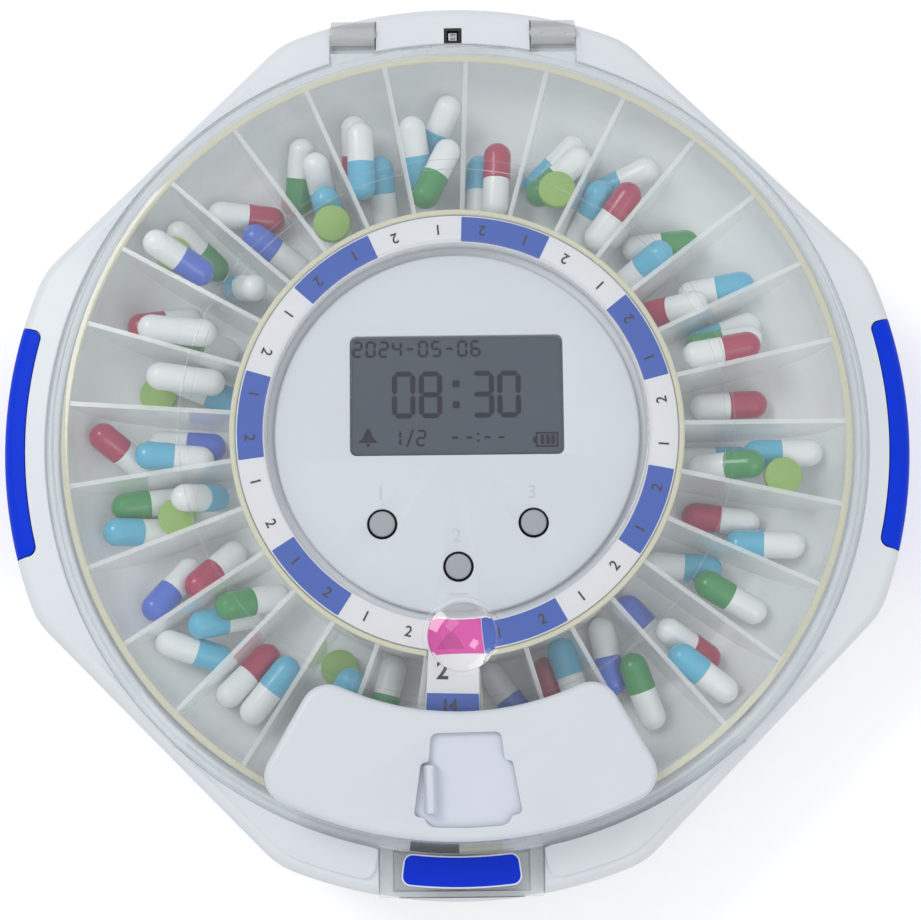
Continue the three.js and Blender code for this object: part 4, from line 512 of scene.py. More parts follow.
def clear_look(name, tint, edge, shade, rough, milk, milk_colour, rim):
    """Thin clear moulded plastic. It is seen straight through, turns paler and greyer where it is seen
    edge-on, and has gloss on its outer faces."""
    material, tree, out = shader(name)
    facing = add(tree, "LayerWeight", Blend=0.5).outputs["Facing"]
    through = add(tree, "BsdfTransparent")
    tree.links.new(mixed_colour(tree, facing, tint, edge), through.inputs["Color"])
    haze = add(tree, "BsdfDiffuse", Color=(*milk_colour, 1))
    share = add(tree, "MapRange", To_Min=milk, To_Max=milk + rim)
    tree.links.new(facing, share.inputs["Value"])
    hazed = mixed(tree, share.outputs["Result"], through.outputs[0], haze.outputs[0])
    gloss = add(tree, "BsdfGlossy", Color=(1, 1, 1, 1))
    tree.links.new(spread(tree, grain(tree, 45.0), rough * 0.7, rough * 1.4), gloss.inputs["Roughness"])
    mirror = add(tree, "Fresnel", IOR=PLASTIC_BEND)
    outer = maths(tree, "SUBTRACT", 1.0, add(tree, "NewGeometry").outputs["Backfacing"])
    sheen = maths(tree, "MULTIPLY", mirror.outputs["Fac"], outer)
    let_lamps_through(tree, out, mixed(tree, sheen, hazed, gloss.outputs[0]), shade)
    return material


def lens_look(name):
    """Clear glass that bends what is seen through it."""
    material, tree, out = shader(name)
    body = add(tree, "BsdfPrincipled", Transmission_Weight=1.0, IOR=LENS_BEND)
    broad = grain(tree, 45.0)
    tree.links.new(tone(tree, broad, (0.985, 0.985, 0.985), 0.006), body.inputs["Base Color"])
    tree.links.new(spread(tree, broad, 0.008, 0.016), body.inputs["Roughness"])
    let_lamps_through(tree, out, body.outputs["BSDF"], (0.95, 0.95, 0.95))
    return material


white_shell = solid_look("white_shell", (0.700, 0.733, 0.765), 0.40)
hub_white = solid_look("hub_white", (0.615, 0.650, 0.695), 0.38)
# A darker copy of the hub's white: painted shade for the faint raised marks on the hub
relief_shade_grey = solid_look("relief_shade_grey", (0.540, 0.575, 0.640), 0.42)
cover_white = solid_look("cover_white", (0.640, 0.676, 0.715), 0.34)
shutter_white = solid_look("shutter_white", (0.635, 0.665, 0.745), 0.36)
blue_rubber = solid_look("blue_rubber", (0.001, 0.036, 0.640), 0.50, relief=0.12, fine=3200, gloss=0.12)
label_blue = solid_look("label_blue", (0.001, 0.030, 0.600), 0.40, gloss=0.15)
label_white = solid_look("label_white", (0.74, 0.76, 0.80), 0.40)
key_grey = solid_look("key_grey", (0.340, 0.366, 0.392), 0.55, relief=0.1)
dark_grey = solid_look("dark_grey", (0.045, 0.047, 0.052), 0.5)
black_plastic = solid_look("black_plastic", (0.014, 0.015, 0.017), 0.45)
lcd_back = solid_look("lcd_back", (0.086, 0.108, 0.134), 0.45, change=0.05, relief=0.0, gloss=0.2)
lcd_ink = solid_look("lcd_ink", (0.016, 0.014, 0.028), 0.5, relief=0.0, gloss=0.2)
ring_white = solid_look("ring_white", (0.745, 0.745, 0.765), 0.45, gloss=0.3)
ring_blue = solid_look("ring_blue", (0.008, 0.074, 0.430), 0.45, gloss=0.3)
ring_magenta = solid_look("ring_magenta", (0.640, 0.040, 0.340), 0.45, gloss=0.3)
ring_maroon = solid_look("ring_maroon", (0.480, 0.022, 0.240), 0.45, gloss=0.3)
print_black = solid_look("print_black", (0.008, 0.009, 0.013), 0.5, relief=0.0, gloss=0.2)
cream_rim = solid_look("cream_rim", (0.640, 0.620, 0.460), 0.34)
seat_cream = solid_look("seat_cream", (0.620, 0.610, 0.500), 0.40)
capsule_white = solid_look("capsule_white", (0.78, 0.80, 0.80), 0.22, relief=0.02, coat=0.3)
capsule_cyan = solid_look("capsule_cyan", (0.095, 0.440, 0.640), 0.20, relief=0.02, coat=0.4)
capsule_green = solid_look("capsule_green", (0.035, 0.270, 0.075), 0.20, relief=0.02, coat=0.4)
capsule_crimson = solid_look("capsule_crimson", (0.390, 0.016, 0.075), 0.20, relief=0.02, coat=0.4)
capsule_blue = solid_look("capsule_blue", (0.050, 0.130, 0.600), 0.20, relief=0.02, coat=0.4)
tablet_green = solid_look("tablet_green", (0.260, 0.440, 0.105), 0.60, change=0.10, relief=0.3, fine=2600)
board_green = solid_look("board_green", (0.012, 0.102, 0.045), 0.40, change=0.08)
steel = solid_look("steel", (0.480, 0.500, 0.530), 0.28, metal=1.0, relief=0.1)
brass = solid_look("brass", (0.580, 0.370, 0.100), 0.33, metal=1.0)
gear_nylon = solid_look("gear_nylon", (0.800, 0.790, 0.740), 0.42)
cell_wrap = solid_look("cell_wrap", (0.042, 0.046, 0.054), 0.33, metal=0.3)
foot_rubber = solid_look("foot_rubber", (0.042, 0.045, 0.048), 0.85, relief=0.3)
clear_lid = clear_look(
    "clear_lid", (0.992, 0.996, 0.996), (0.90, 0.915, 0.92), (0.98, 0.982, 0.982), 0.04, 0.032,
    (0.86, 0.88, 0.89), 0.12)
clear_lug = clear_look(
    "clear_lug", (0.96, 0.965, 0.965), (0.86, 0.87, 0.87), (0.94, 0.945, 0.945), 0.12, 0.34,
    (0.70, 0.72, 0.72), 0.20)
clear_frame = clear_look(
    "clear_frame", (0.975, 0.98, 0.98), (0.88, 0.89, 0.90), (0.97, 0.975, 0.975), 0.06, 0.24,
    (0.84, 0.86, 0.87), 0.22)
clear_lens = lens_look("clear_lens")
clear_latch = clear_look(
    "clear_latch", (0.95, 0.955, 0.96), (0.84, 0.86, 0.87), (0.93, 0.94, 0.945), 0.15, 0.12,
    (0.72, 0.74, 0.76), 0.20)
clear_tray = clear_look(
    "clear_tray", (0.99, 0.992, 0.99), (0.92, 0.93, 0.925), (0.985, 0.988, 0.986), 0.12, 0.34,
    (0.93, 0.945, 0.945), 0.20)
window_clear = clear_look(
    "window_clear", (0.96, 0.965, 0.97), (0.90, 0.91, 0.92), (0.94, 0.94, 0.95), 0.04, 0.012,
    (0.80, 0.82, 0.84), 0.10)

CAD_LOOKS = {
    "display_module": dark_grey, "main_board": board_green, "buzzer": black_plastic,
    "drive_gear": gear_nylon, "gear_pin": steel, "motor_pinion": brass, "drive_motor": steel,
    "home_sensor": black_plastic, "contact_plate_right": steel, "contact_plate_left": steel,
    **{f"button_switch_{i}": black_plastic for i in (1, 2, 3)},
    **{f"board_screw_{i}": steel for i in (1, 2, 3)},
    **{f"cell_{i}": cell_wrap for i in (1, 2, 3, 4)},
    **{f"contact_spring_{i}": steel for i in (1, 2, 3, 4)},
}
for node_name, surface in CAD_LOOKS.items():
    nodes[node_name].data.materials.clear()
    nodes[node_name].data.materials.append(surface)


# Lower housing

foot_places = around(FOOT_CIRCLE, 4, pi / 4)
screw_places = around(SCREW_CIRCLE, 4, pi / 6)
GRIP_SEAT = 1.6
grip_form = housing_form(GRIP_SEAT)
grip_rooms = [combine(as_object(grip_bar(side, 0.3)), copy_of(grip_form), "DIFFERENCE") for side in (1, -1)]
bpy.data.objects.remove(grip_form)

outside = bowl_side(0)
inside = list(reversed(bowl_side(HOUSING_WALL)))
outside[-1] = (outside[-1][0], PART_LINE - HALF_GAP)
inside[0] = (inside[0][0], PART_LINE - HALF_GAP)
bowl = turned([(0, FOOT_STAND)] + outside + inside + [(0, 3.2)], HOUSING_STEPS)
base = as_object(to_outline(bowl, 0.001, EDGE_INSET))
BAY_X, BAY_HALF, BAY_SIDE = -35.0, 28.65, 30.15
bay_left, bay_right = BAY_X - BAY_HALF, BAY_X + BAY_HALF
join(
    base,
    block(bay_left - 2.6, bay_right + 2.6, -BAY_SIDE - 2.6, BAY_SIDE + 2.6, 2.2, 19.4),
    block(bay_left - 10.6, bay_right + 8.6, -BAY_SIDE - 2.6, BAY_SIDE + 2.6, 2.2, 4.7),
    discs(screw_places, 4.4, 2.2, 13),
    disc(2.9, 2.2, 13.2, GEAR_X))
cut(
    base,
    block(bay_left, bay_right, -BAY_SIDE, BAY_SIDE, -0.3, 18.3),
    block(bay_left - 8.3, bay_right + 2.3, -BAY_SIDE - 2.3, BAY_SIDE + 2.3, -0.3, 3.4),
    block(bay_right, bay_right + 6.3, -14.3, 14.3, 1.9, 3.4),
    discs(screw_places, 1.4, 0, 14.5, 24),
    discs(screw_places, 2.7, 0, 7.2),
    discs(foot_places, 6.8, 0, 1.8, 64),
    disc(1.5, 3.2, 13.5, GEAR_X),
    copy_of(grip_rooms[0]), copy_of(grip_rooms[1]))
place_piece(base, "lower_housing", white_shell, "housing", "white_shell", ["base_shell"])

# Upper housing

def shaped_deck(section, edge=EDGE_ROUND):
    """A section turned round and drawn out to the housing outline, up to the lid's seat."""
    return to_outline(turned(section, HOUSING_STEPS), SEAT_RADIUS, edge)


deck_edge = [(BODY_RADIUS, PART_LINE + HALF_GAP)] + shoulder_side(0)
deck_edge += [(SEAT_RADIUS, SHOULDER_TOP, 0.5), (SEAT_RADIUS, SEAT_TOP)]
deck_section = deck_edge + [
    (WELL_RADIUS, SEAT_TOP, 0.5), (WELL_RADIUS, WELL_FLOOR, 1.0), (45.3, WELL_FLOOR, 1.0), (45.3, 41.6),
    (48.4, 41.9), (48.4, 43.4, 0.3), (42.9, 43.4, 0.3), (42.9, WELL_FLOOR), (0, WELL_FLOOR), (0, 19.8),
    (97.4, 19.8), (97.4, 35.6), (BODY_RADIUS - HOUSING_WALL, 33.3),
    (BODY_RADIUS - HOUSING_WALL, PART_LINE + HALF_GAP)]
deck = as_object(shaped_deck(deck_section))

# Thicker places for the hinges, latch and socket, kept within the edge of the deck
edge_form = as_object(shaped_deck(deck_edge + [(WELL_RADIUS, SEAT_TOP), (WELL_RADIUS, PART_LINE + HALF_GAP)]))
hinge_half = LUG_WIDTH / 2 + 0.4 + 2.8 + 2.2
filled = together([
    block(HINGE_X - hinge_half, HINGE_X + hinge_half, 86.4, BODY_RADIUS, 32.3, 41.7),
    block(-HINGE_X - hinge_half, -HINGE_X + hinge_half, 86.4, BODY_RADIUS, 32.3, 41.7),
    block(-21.3, 21.3, -BODY_RADIUS, -86.4, 28.5, 41.7),
    block(-4.8, 4.8, 96.7, 105.7, 33.4, 41.7)])
join(deck, within(edge_form, filled))

# Raised pads on both sides of the latch
PAD_LOW, PAD_RISE = 36.9, 0.7
pad_start = asin(19.6 / (SEAT_RADIUS + 2.4))
corner_turn = 2.4 / BODY_RADIUS


def pad_outer(a):
    return outline_radius(FRONT + a, 3.2)


pad_plan = [polar(SEAT_RADIUS + 0.4, pad_start), polar(pad_outer(pad_start) - 2.4, pad_start),
            polar(pad_outer(pad_start) - 0.8, pad_start + corner_turn / 3)]
for i in range(13):
    a = pad_start + corner_turn + (pi / 4 - pad_start - 3 * corner_turn) * i / 12
    pad_plan.append(polar(max(pad_outer(a), SEAT_RADIUS + 0.8), a))
pad_plan.append(polar(SEAT_RADIUS + 0.4, pi / 4 - 2 * corner_turn))
skin_section = [(SEAT_RADIUS, PAD_LOW), (BODY_RADIUS, PAD_LOW)]
skin_section += [(r, z) for r, z in shoulder_side(-PAD_RISE) if z > PAD_LOW] + [(SEAT_RADIUS, 40.9)]
for side in (1, -1):
    skin = shaped_deck(skin_section, EDGE_ROUND - PAD_RISE)
    plan = slab(pad_plan, PAD_LOW, 53.0)
    pad = within(as_object(plan if side > 0 else mirrored(plan)), skin)
    soften(pad, 0.45, 3)
    join(deck, pad)

join(deck, discs(screw_places, 4.4, 13.3, 20.7))


def hinge_room(side):
    """The room in the deck for a lug of the lid, also when the lid is open."""
    x0, x1 = side * HINGE_X - LUG_WIDTH / 2 - 0.4, side * HINGE_X + LUG_WIDTH / 2 + 0.4
    return [
        rod(3.7, x0, x1, HINGE_Y, HINGE_Z, 40),
        block(x0, x1, HINGE_Y - EYE_RADIUS * 1.4 - 0.4, HINGE_Y, HINGE_Z - 2.05, CUT_TOP),
        block(x0, x1, HINGE_Y - 1.5, HINGE_Y + 3.7, HINGE_Z, CUT_TOP),
        block(x0, x1, 86.4, HINGE_Y, SEAT_TOP, CUT_TOP)]


stem_y = (LATCH_FRONT + 1.2 + 0.4 - 98.4) / 2
latch_room = as_object(block(-19.3, 19.3, LATCH_FRONT, -WELL_RADIUS, 30.5, CUT_TOP))
cut(latch_room, disc(98.4, 0, 60, facets=192))
cut(
    deck, *hinge_room(1), *hinge_room(-1), latch_room,
    block(-19.3, 19.3, LATCH_FRONT, -77.4, SEAT_TOP, CUT_TOP),
    disc(2.3, 0, 32, 0, stem_y, 24),
    block(-2.2, 2.2, 98.7, 103.1, 35.4, CUT_TOP),
    discs(screw_places, 1.4, 13, 19.8, 24),
    disc(9.0127, 0, 28.5, GEAR_X, facets=64), disc(2.0, 0, 23.1, MOTOR_X, facets=24),
    grip_rooms[0], grip_rooms[1])
place_piece(deck, "upper_housing", white_shell, "housing", "white_shell", ["deck_shell"])

# Grips, feet, screws

for side, label in ((1, "right"), (-1, "left")):
    grip = within(as_object(grip_bar(side, 0)), housing_form(0))
    cut(grip, housing_form(1.3))
    soften(grip, 0.3, 2)
    place_piece(grip, f"soft_grip_{label}", blue_rubber, "housing", "blue_grip", [f"grip_{label}"])

for i, (x, y) in enumerate(foot_places):
    foot = turned([(0, 1.5), (6.5, 1.5), (6.5, 0, 0.6), (5.0, 0, 0.2), (4.6, 0.25, 0.2), (0, 0.25)], 64)
    place_piece(as_object(shift(foot, x, y)), f"foot_{i + 1}", foot_rubber, "housing", "foot_rubber",
                [f"rubber_foot_{i + 1}"])

SCREW_LOW = 5.4
for i, (x, y) in enumerate(screw_places):
    body = turned([
        (0, 16.2), (1.1, 16.2), (1.1, 6.9), (2.4, 6.9), (2.4, SCREW_LOW, 0.5), (0, SCREW_LOW)], 32)
    fixing = as_object(shift(body, x, y))
    for angle in (0, pi / 2):
        groove = block(-1.5, 1.5, -0.3, 0.3, SCREW_LOW - 0.3, SCREW_LOW + 0.8)
        cut(fixing, shift(turn(groove, angle), x, y))
    place_piece(fixing, f"case_screw_{i + 1}", steel, "housing", "steel", [f"housing_screw_{i + 1}"])

# Hub

hub_section = [
    (0, HUB_TOP), (43.4, HUB_TOP, 0.8), (43.4, 43.7), (42.5, 43.7), (42.5, 38.8), (41.1, 38.8), (41.1, 42.8),
    (0, 42.8)]
hub = as_object(turned(hub_section, 192))
post_places = around(34.5, 3, pi / 2 + pi / 18)
key_places = [(-17.8, -21.8), (0, -32), (17.8, -21.8)]
join(hub, discs(post_places, 2.6, 38.5, 44.0))
cut(
    hub,
    slab(panel(-25.4, 25.4, DISPLAY_Y - 14.5, DISPLAY_Y + 14.5, 1.6), 43.6, 46.7),
    slab(panel(-24.2, 24.2, DISPLAY_Y - 13.3, DISPLAY_Y + 13.3, 1.2), 30, 46),
    discs(key_places, 3.6, 30, 46.7, 48),
    discs(post_places, 1.4, 38.2, 41.6, 24))
soften(hub, 0.22, 2)
place_piece(hub, "hub_disc", hub_white, "housing", "hub_white", ["hub_cap"])

glass_plan = panel(-25.1, 25.1, DISPLAY_Y - 14.2, DISPLAY_Y + 14.2, 1.4)
glass = as_object(slab(glass_plan, 44.35, 44.9, 0.15))
place_piece(glass, "display_glass", window_clear, "housing", "display", ["display_window"])
place_piece(as_object(slab(glass_plan, 43.9, 44.15)), "lcd_panel", lcd_back, "housing", "display")


def lettering(text, height, thick=0.05, bold=0.0):
    """Plain figures as a thin solid, standing on the line y = 0 and centred on x = 0."""
    curve = bpy.data.curves.new("figures", "FONT")
    curve.body = text
    curve.size = height / 0.71
    curve.align_x = "CENTER"
    curve.extrude = thick / 2
    curve.offset = bold
    curve.resolution_u = 3
    obj = in_scene("figures", curve)
    bpy.context.view_layer.update()
    mesh = as_seen(obj)
    bpy.data.objects.remove(obj)
    bm = bmesh.new()
    bm.from_mesh(mesh)
    bpy.data.meshes.remove(mesh)
    return bm


# Segments of each figure on the display: a at the top, then clockwise to f, and g in the middle
SEGMENTS = {
    "0": "abcdef", "1": "bc", "2": "abged", "3": "abgcd", "4": "fgbc", "5": "afgcd", "6": "afgedc",
    "8": "abcdefg", "-": "g"}


def ink(points):
    return slab(points, 44.17, 44.23)


def bar(x, y, length, width, upright):
    half, w = length / 2, width / 2
    bm = ink([(-half, 0), (-half + w, -w), (half - w, -w), (half, 0), (half - w, w), (-half + w, w)])
    if upright:
        turn(bm, pi / 2)
    return shift(bm, x, y)


def display_digit(mark, x, y, width, height, stroke):
    """One figure of the segment display, its lower left corner at x, y."""
    flat, up = width - stroke, (height - stroke) / 2
    middle, left, right = x + width / 2, x + stroke / 2, x + width - stroke / 2
    low, mid, high = y + stroke / 2, y + height / 2, y + height - stroke / 2
    where = {
        "a": (middle, high, flat, False), "g": (middle, mid, flat, False), "d": (middle, low, flat, False),
        "f": (left, (mid + high) / 2, up, True), "b": (right, (mid + high) / 2, up, True),
        "e": (left, (low + mid) / 2, up, True), "c": (right, (low + mid) / 2, up, True)}
    parts = []
    for segment in SEGMENTS[mark]:
        across, along, length, upright = where[segment]
        parts.append(bar(across, along, length - stroke * 0.12, stroke, upright))
    return parts


def display_row(text, x, y, width, height, stroke, step):
    parts = []
    for mark in text:
        if mark in SEGMENTS:
            parts += display_digit(mark, x, y, width, height, stroke)
            x += step
        else:
            for share in (0.3, 0.7):
                spot = y + height * share
                parts.append(ink(panel(x - stroke / 2, x + stroke / 2, spot - stroke / 2, spot + stroke / 2)))
            x += stroke * 2
    return parts


figures = (
    display_row("2024-05-06", -24.8, 18.4, 2.5, 4.1, 0.62, 3.13)
    + display_row("08", -15.4, 3.6, 5.6, 11.4, 1.25, 6.4)
    + display_row("30", 3.35, 3.6, 5.6, 11.4, 1.25, 6.35)
    + display_row("1", -15.6, -3.2, 2.4, 4.1, 0.55, 3.1)
    + display_row("2", -9.7, -3.2, 2.4, 4.1, 0.55, 3.1)
    + display_row("--:--", -1.6, -3.2, 2.3, 4.1, 0.55, 3.3))
figures += [ink(panel(-0.95, 0.75, spot - 0.85, spot + 0.85)) for spot in (6.8, 11.9)]
# Stroke between the two dose figures
figures.append(ink([(-12.1, -3.2), (-11.6, -3.2), (-10.2, 0.9), (-10.7, 0.9)]))
# Bell for the alarm
figures.append(ink([
    (-23.2, -2.2), (-19.0, -2.2), (-19.0, -1.7), (-20.1, -0.9, 0.3), (-20.3, 0.6, 0.5), (-21.9, 0.6, 0.5),
    (-22.1, -0.9, 0.3), (-23.2, -1.7)]))
figures += [ink(panel(-21.5, -20.7, low, high)) for low, high in ((0.5, 1.2), (-3.1, -2.4))]
# Battery with its charge bars
for x0, x1, y0, y1 in (
        (18.7, 24.0, -3.6, -3.2), (18.7, 24.0, -0.4, 0.0), (18.7, 19.1, -3.6, 0.0),
        (23.6, 24.0, -3.6, 0.0), (18.1, 18.7, -2.6, -1.0), (19.8, 20.7, -2.9, -0.7),
        (21.1, 22.0, -2.9, -0.7), (22.3, 23.2, -2.9, -0.7)):
    figures.append(ink(panel(x0, x1, y0, y1)))
place_piece(as_object(together(figures)), "display_figures", lcd_ink, "housing", "display")

for i, (x, y) in enumerate(key_places):
    key = turned([
        (0, 46.0), (3.0, 46.0, 0.5), (3.0, 42.5), (4.3, 42.5, 0.1), (4.3, 41.7), (0, 41.7)], 48)
    cap = as_object(shift(key, x, y))
    # The cap's side down in the hub's hole and its flange are dark grey: painted shade for the gap round each
    # key
    paint_faces(cap, 1, lambda c, n: hypot(c.x - x, c.y - y) > 2.95 and c.z < 44.9)
    place_piece(
        cap, f"key_cap_{i + 1}", [key_grey, dark_grey], f"key_{i + 1}", "button_grey", [f"button_{i + 1}"])

# Faint raised marks on the hub, in a grey darker than the hub's white: painted shade of their relief
raised_marks = [
    shift(lettering(str(i + 1), 3.3, 0.08), x - 0.3, y + 5.8, HUB_TOP + 0.03)
    for i, (x, y) in enumerate(key_places)]
raised_marks += [slab(panel(-2.2, 2.2, -38.6, -38.25), HUB_TOP - 0.02, HUB_TOP + 0.06),
                 disc(0.35, HUB_TOP - 0.02, HUB_TOP + 0.06, -0.25, -40.4, 16)]
place_piece(as_object(together(raised_marks)), "hub_marks", relief_shade_grey, "housing", "hub_white")

# Tray

RIM_IN = TRAY_RIM - 1.7
WALL_HALF = 0.55
# Where the flat floor of a pocket ends, and how far its scooped outer side rises
SCOOP_START, SCOOP_RISE = 72, 19.7


def scoop(drop):
    return [
        (SCOOP_START + (RIM_IN + drop - SCOOP_START) * sin(t),
         TRAY_FLOOR - drop + SCOOP_RISE * (1 - cos(t))) for t in quarter(14)]


tray_section = (
    [(TRAY_INNER, 21.9)] + scoop(1.3)
    + [(TRAY_RIM, 42.9, 0.3), (TRAY_RIM, 44.6, 0.4), (RIM_IN, 44.6, 0.4)] + list(reversed(scoop(0)))
    + [(53.6, TRAY_FLOOR, 0.8), (53.6, 48.9, 0.4), (TRAY_INNER, 48.9, 0.4), (TRAY_INNER, 45.1, 0.3),
       (49.7, 45.1, 0.3), (49.7, 43.9, 0.3), (TRAY_INNER, 42.6)])
tray = as_object(turned(tray_section, POCKETS * 10))


def divider(index):
    """One upright wall between two pockets."""
    inside, outer, floor = 52.95, 93.05, 22.55
    points = [(inside, floor), (SCOOP_START, floor)]
    for t in quarter(14)[1:]:
        along = SCOOP_START + (outer - SCOOP_START) * sin(t)
        points.append((along, floor + (42.9 - floor) * (1 - cos(t))))
    points += [(outer, 44.44), (inside, 48.74)]
    wall = drawn_out(shift(outline(points), y=-WALL_HALF), (0, 2 * WALL_HALF, 0))
    return turn(wall, pi / 2 + TURN * index / POCKETS)


join(tray, together([divider(i) for i in range(POCKETS)]))


def gear_ring_plan(teeth, module):
    """Plan of the straight-sided teeth that point inwards."""
    tip, root = module * teeth / 2 - module * 0.72, module * teeth / 2 + module * 1.1
    points = []
    for i in range(teeth):
        for r, share in ((root, -0.6), (tip, -0.22), (tip, 0.22), (root, 0.6)):
            a = pi / 2 + i * TURN / teeth + share * TURN / teeth / 2
            points.append((r * cos(a), r * sin(a)))
    return points


band = as_object(disc(52.95, 21.9, 26.9, facets=POCKETS * 10))
join(tray, cut(band, slab(gear_ring_plan(58, 1.74), 10, 40)))
half_pocket = pi / POCKETS
join(tray, slab(sector(52.95, 93.05, -half_pocket, half_pocket), 43.0, 44.2))
tab = [(-6.1, -49.9), (-6.6, -66.8), (6.6, -66.8), (6.1, -49.9)]
cut(
    tray, turn(slab(tab, 47.3, 53.0), RING_TURN - REST_TURN), block(-2.2, 2.2, -52.95, -50.8, 30, 36.5),
    slab(sector(59.2, 70.0, -half_pocket / 2, half_pocket / 2), 21.0, 24.5))
turn_object(tray, REST_TURN)
paint_faces(tray, 1, lambda c, n: n.z > 0.3 and c.z > 43.4 and (c.xy.length > 91.6 or c.xy.length < 54.2))
place_piece(tray, "pocket_tray", [clear_tray, cream_rim], "tray", "frosted", ["pill_tray"])

# Dose ring

ring = as_object(turned([
    (45.4, 48.6, 0.25), (45.4, 44.0, 0.2), (46.6, 44.0, 0.2), (46.6, 47.6), (50.2, 47.6), (50.2, 45.4),
    (51.4, 45.4), (51.4, 47.6), (52.1, 47.9), (52.1, 48.6, 0.3)], POCKETS * 8))
join(ring, slab([(-5.8, -50.3), (-6.28, -66.3, 0.6), (6.28, -66.3, 0.6), (5.8, -50.3)], 47.6, 48.6, 0.15))
turn_object(ring, RING_TURN)
place_piece(ring, "dose_ring_body", ring_white, "tray", "dose_white", ["dose_ring"])

FIELD_IN, FIELD_OUT, EDGE_TURN = 45.7, 51.75, 0.006
fields = []
for pair in range(0, 14, 2):
    start = (2 * pair + 0.5) * POCKET_TURN + EDGE_TURN
    end = (2 * pair + 2.5) * POCKET_TURN - EDGE_TURN
    fields.append(slab(sector(FIELD_IN, FIELD_OUT, start, end, 16, 0.25), 48.55, 48.64))
fields.append(slab([(-6.15, -66.15), (6.15, -66.15), (5.98, -61.7), (-5.98, -61.7)], 48.55, 48.64))
place_piece(as_object(turn(together(fields), RING_TURN)), "ring_blue_fields", ring_blue, "tray", "dose_white")
home = slab(sector(FIELD_IN, FIELD_OUT, -half_pocket, half_pocket + EDGE_TURN - 0.002, 8), 48.55, 48.63)
place_piece(as_object(turn(home, RING_TURN)), "ring_home_field", ring_magenta, "tray", "dose_white")
arrow = slab([(-2.5, -50.9), (2.5, -50.9), (0.6, -48.0, 0.4), (-0.6, -48.0, 0.4)], 48.6, 48.67)
place_piece(as_object(turn(arrow, RING_TURN)), "ring_home_mark", ring_maroon, "tray", "dose_white")
marks = []
for number in range(1, POCKETS):
    figure = lettering("1" if number % 2 else "2", 2.5, bold=0.05)
    shift(figure, 0, -49.9, 48.66)
    marks.append(turn(figure, RING_TURN + number * POCKET_TURN))
for text, x, y, height in (("14", -0.8, -65.8, 2.7), ("2", -2.5, -58.4, 4.1)):
    marks.append(turn(shift(lettering(text, height, bold=0.12), x, y, 48.66), RING_TURN))
place_piece(as_object(together(marks)), "ring_numbers", print_black, "tray", "dose_white")

# Pills

# Pocket number counted from home, then kind, distance along and across the pocket, and heading in degrees
DOSES = {
    1: [("blue", 62.5, 0, -155)],
    2: [("crimson", 65.5, -3, -5), ("cyan", 63, 2, -5)],
    3: [("blue", 63, -1, 155), ("green", 75, 0.5, -15)],
    4: [("blue", 64, -3, -5), ("crimson", 74, 0, -170), ("cyan", 81, -3.5, 5)],
    5: [("cyan", 62.5, 0.5, -155), ("green", 76, -1, 0)],
    6: [("crimson", 67, 1, 10), ("cyan", 78.5, -2.5, 15)],
    7: [("cyan", 63, 1, -175), ("cyan", 79, 3, 5), ("tablet", 78.5, -3.5, 0), ("green", 65, -1.5, -175)],
    8: [("crimson", 67.5, 0.5, 175)],
    9: [("cyan", 71.5, 3, 0), ("green", 69.5, 0, -10), ("crimson", 67, -2.5, 170)],
    10: [("cyan", 75, -2, 155), ("crimson", 62.5, -0.5, -25)],
    11: [("green", 71.5, -0.5, 140), ("cyan", 63, -1.5, 170)],
    12: [("cyan", 78.5, 0.5, -35), ("cyan", 66, 3, -175), ("crimson", 67.5, -2.5, 175)],
    13: [("cyan", 75, 1, -25), ("green", 71, -1, -30), ("tablet", 66, -2, 0)],
    14: [("cyan", 64.5, 3, -175), ("crimson", 66.5, -1, -175)],
    15: [("cyan", 79.5, -2, -30), ("cyan", 73, 4, 5), ("green", 66.5, -0.5, -30)],
    16: [("crimson", 78, 2.5, -15), ("cyan", 66, -1, 170), ("cyan", 73.5, 2, -15)],
    17: [("green", 78.5, 0.5, -35), ("cyan", 72.5, -2.5, -15), ("cyan", 63.5, -1, 175),
         ("tablet", 60.5, 0.5, 0)],
    18: [("crimson", 78, 0.5, 45), ("blue", 66, 1, -165)],
    19: [("green", 80.5, -2, -5), ("tablet", 82, 3.5, 0), ("blue", 79.5, 4, 5), ("cyan", 65, -1, -170)],
    20: [("crimson", 78, 0.5, -145), ("green", 67.5, 2, -165), ("white", 72.5, 2.5, 20)],
    21: [("tablet", 75, 1, 0), ("cyan", 63, -1.5, -10), ("white", 67.5, -2.5, -175)],
    22: [("crimson", 81.5, 0, 140), ("blue", 66.5, -2, -5), ("cyan", 68.5, 2, 175)],
    23: [("green", 76, -4, 175), ("cyan", 79.5, 2.5, 170), ("tablet", 70, 1.5, 0), ("cyan", 63.5, -1.5, 0)],
    24: [("blue", 77.5, 1, -155), ("crimson", 66, 1.5, -160)],
    25: [("cyan", 81, -0.5, -55), ("cyan", 70.5, -1.5, 155), ("green", 62.5, -0.5, 155)],
    26: [("crimson", 75.5, -4, -5), ("cyan", 75, 2.5, 0)],
    27: [("tablet", 61.5, -1.5, 0), ("cyan", 69.5, 2, -5)],
    28: [("green", 63, -2, -180)],
}
PILL_RADIUS, PILL_HALF, BODY_END = 3.45, 6.25, 3.3
TABLET_RADIUS, TABLET_HALF, TABLET_REACH = 4.5, 1.9, 4.4


def resting_height(r, radius):
    """Lowest centre height of a ball of that radius in the scooped bowl at distance r."""
    best = TRAY_FLOOR + radius
    for t in quarter(60):
        scoop_r, scoop_z = SCOOP_START + 20.2 * sin(t), TRAY_FLOOR + SCOOP_RISE * (1 - cos(t))
        if abs(scoop_r - r) < radius:
            best = max(best, scoop_z + sqrt(radius ** 2 - (scoop_r - r) ** 2))
    return best


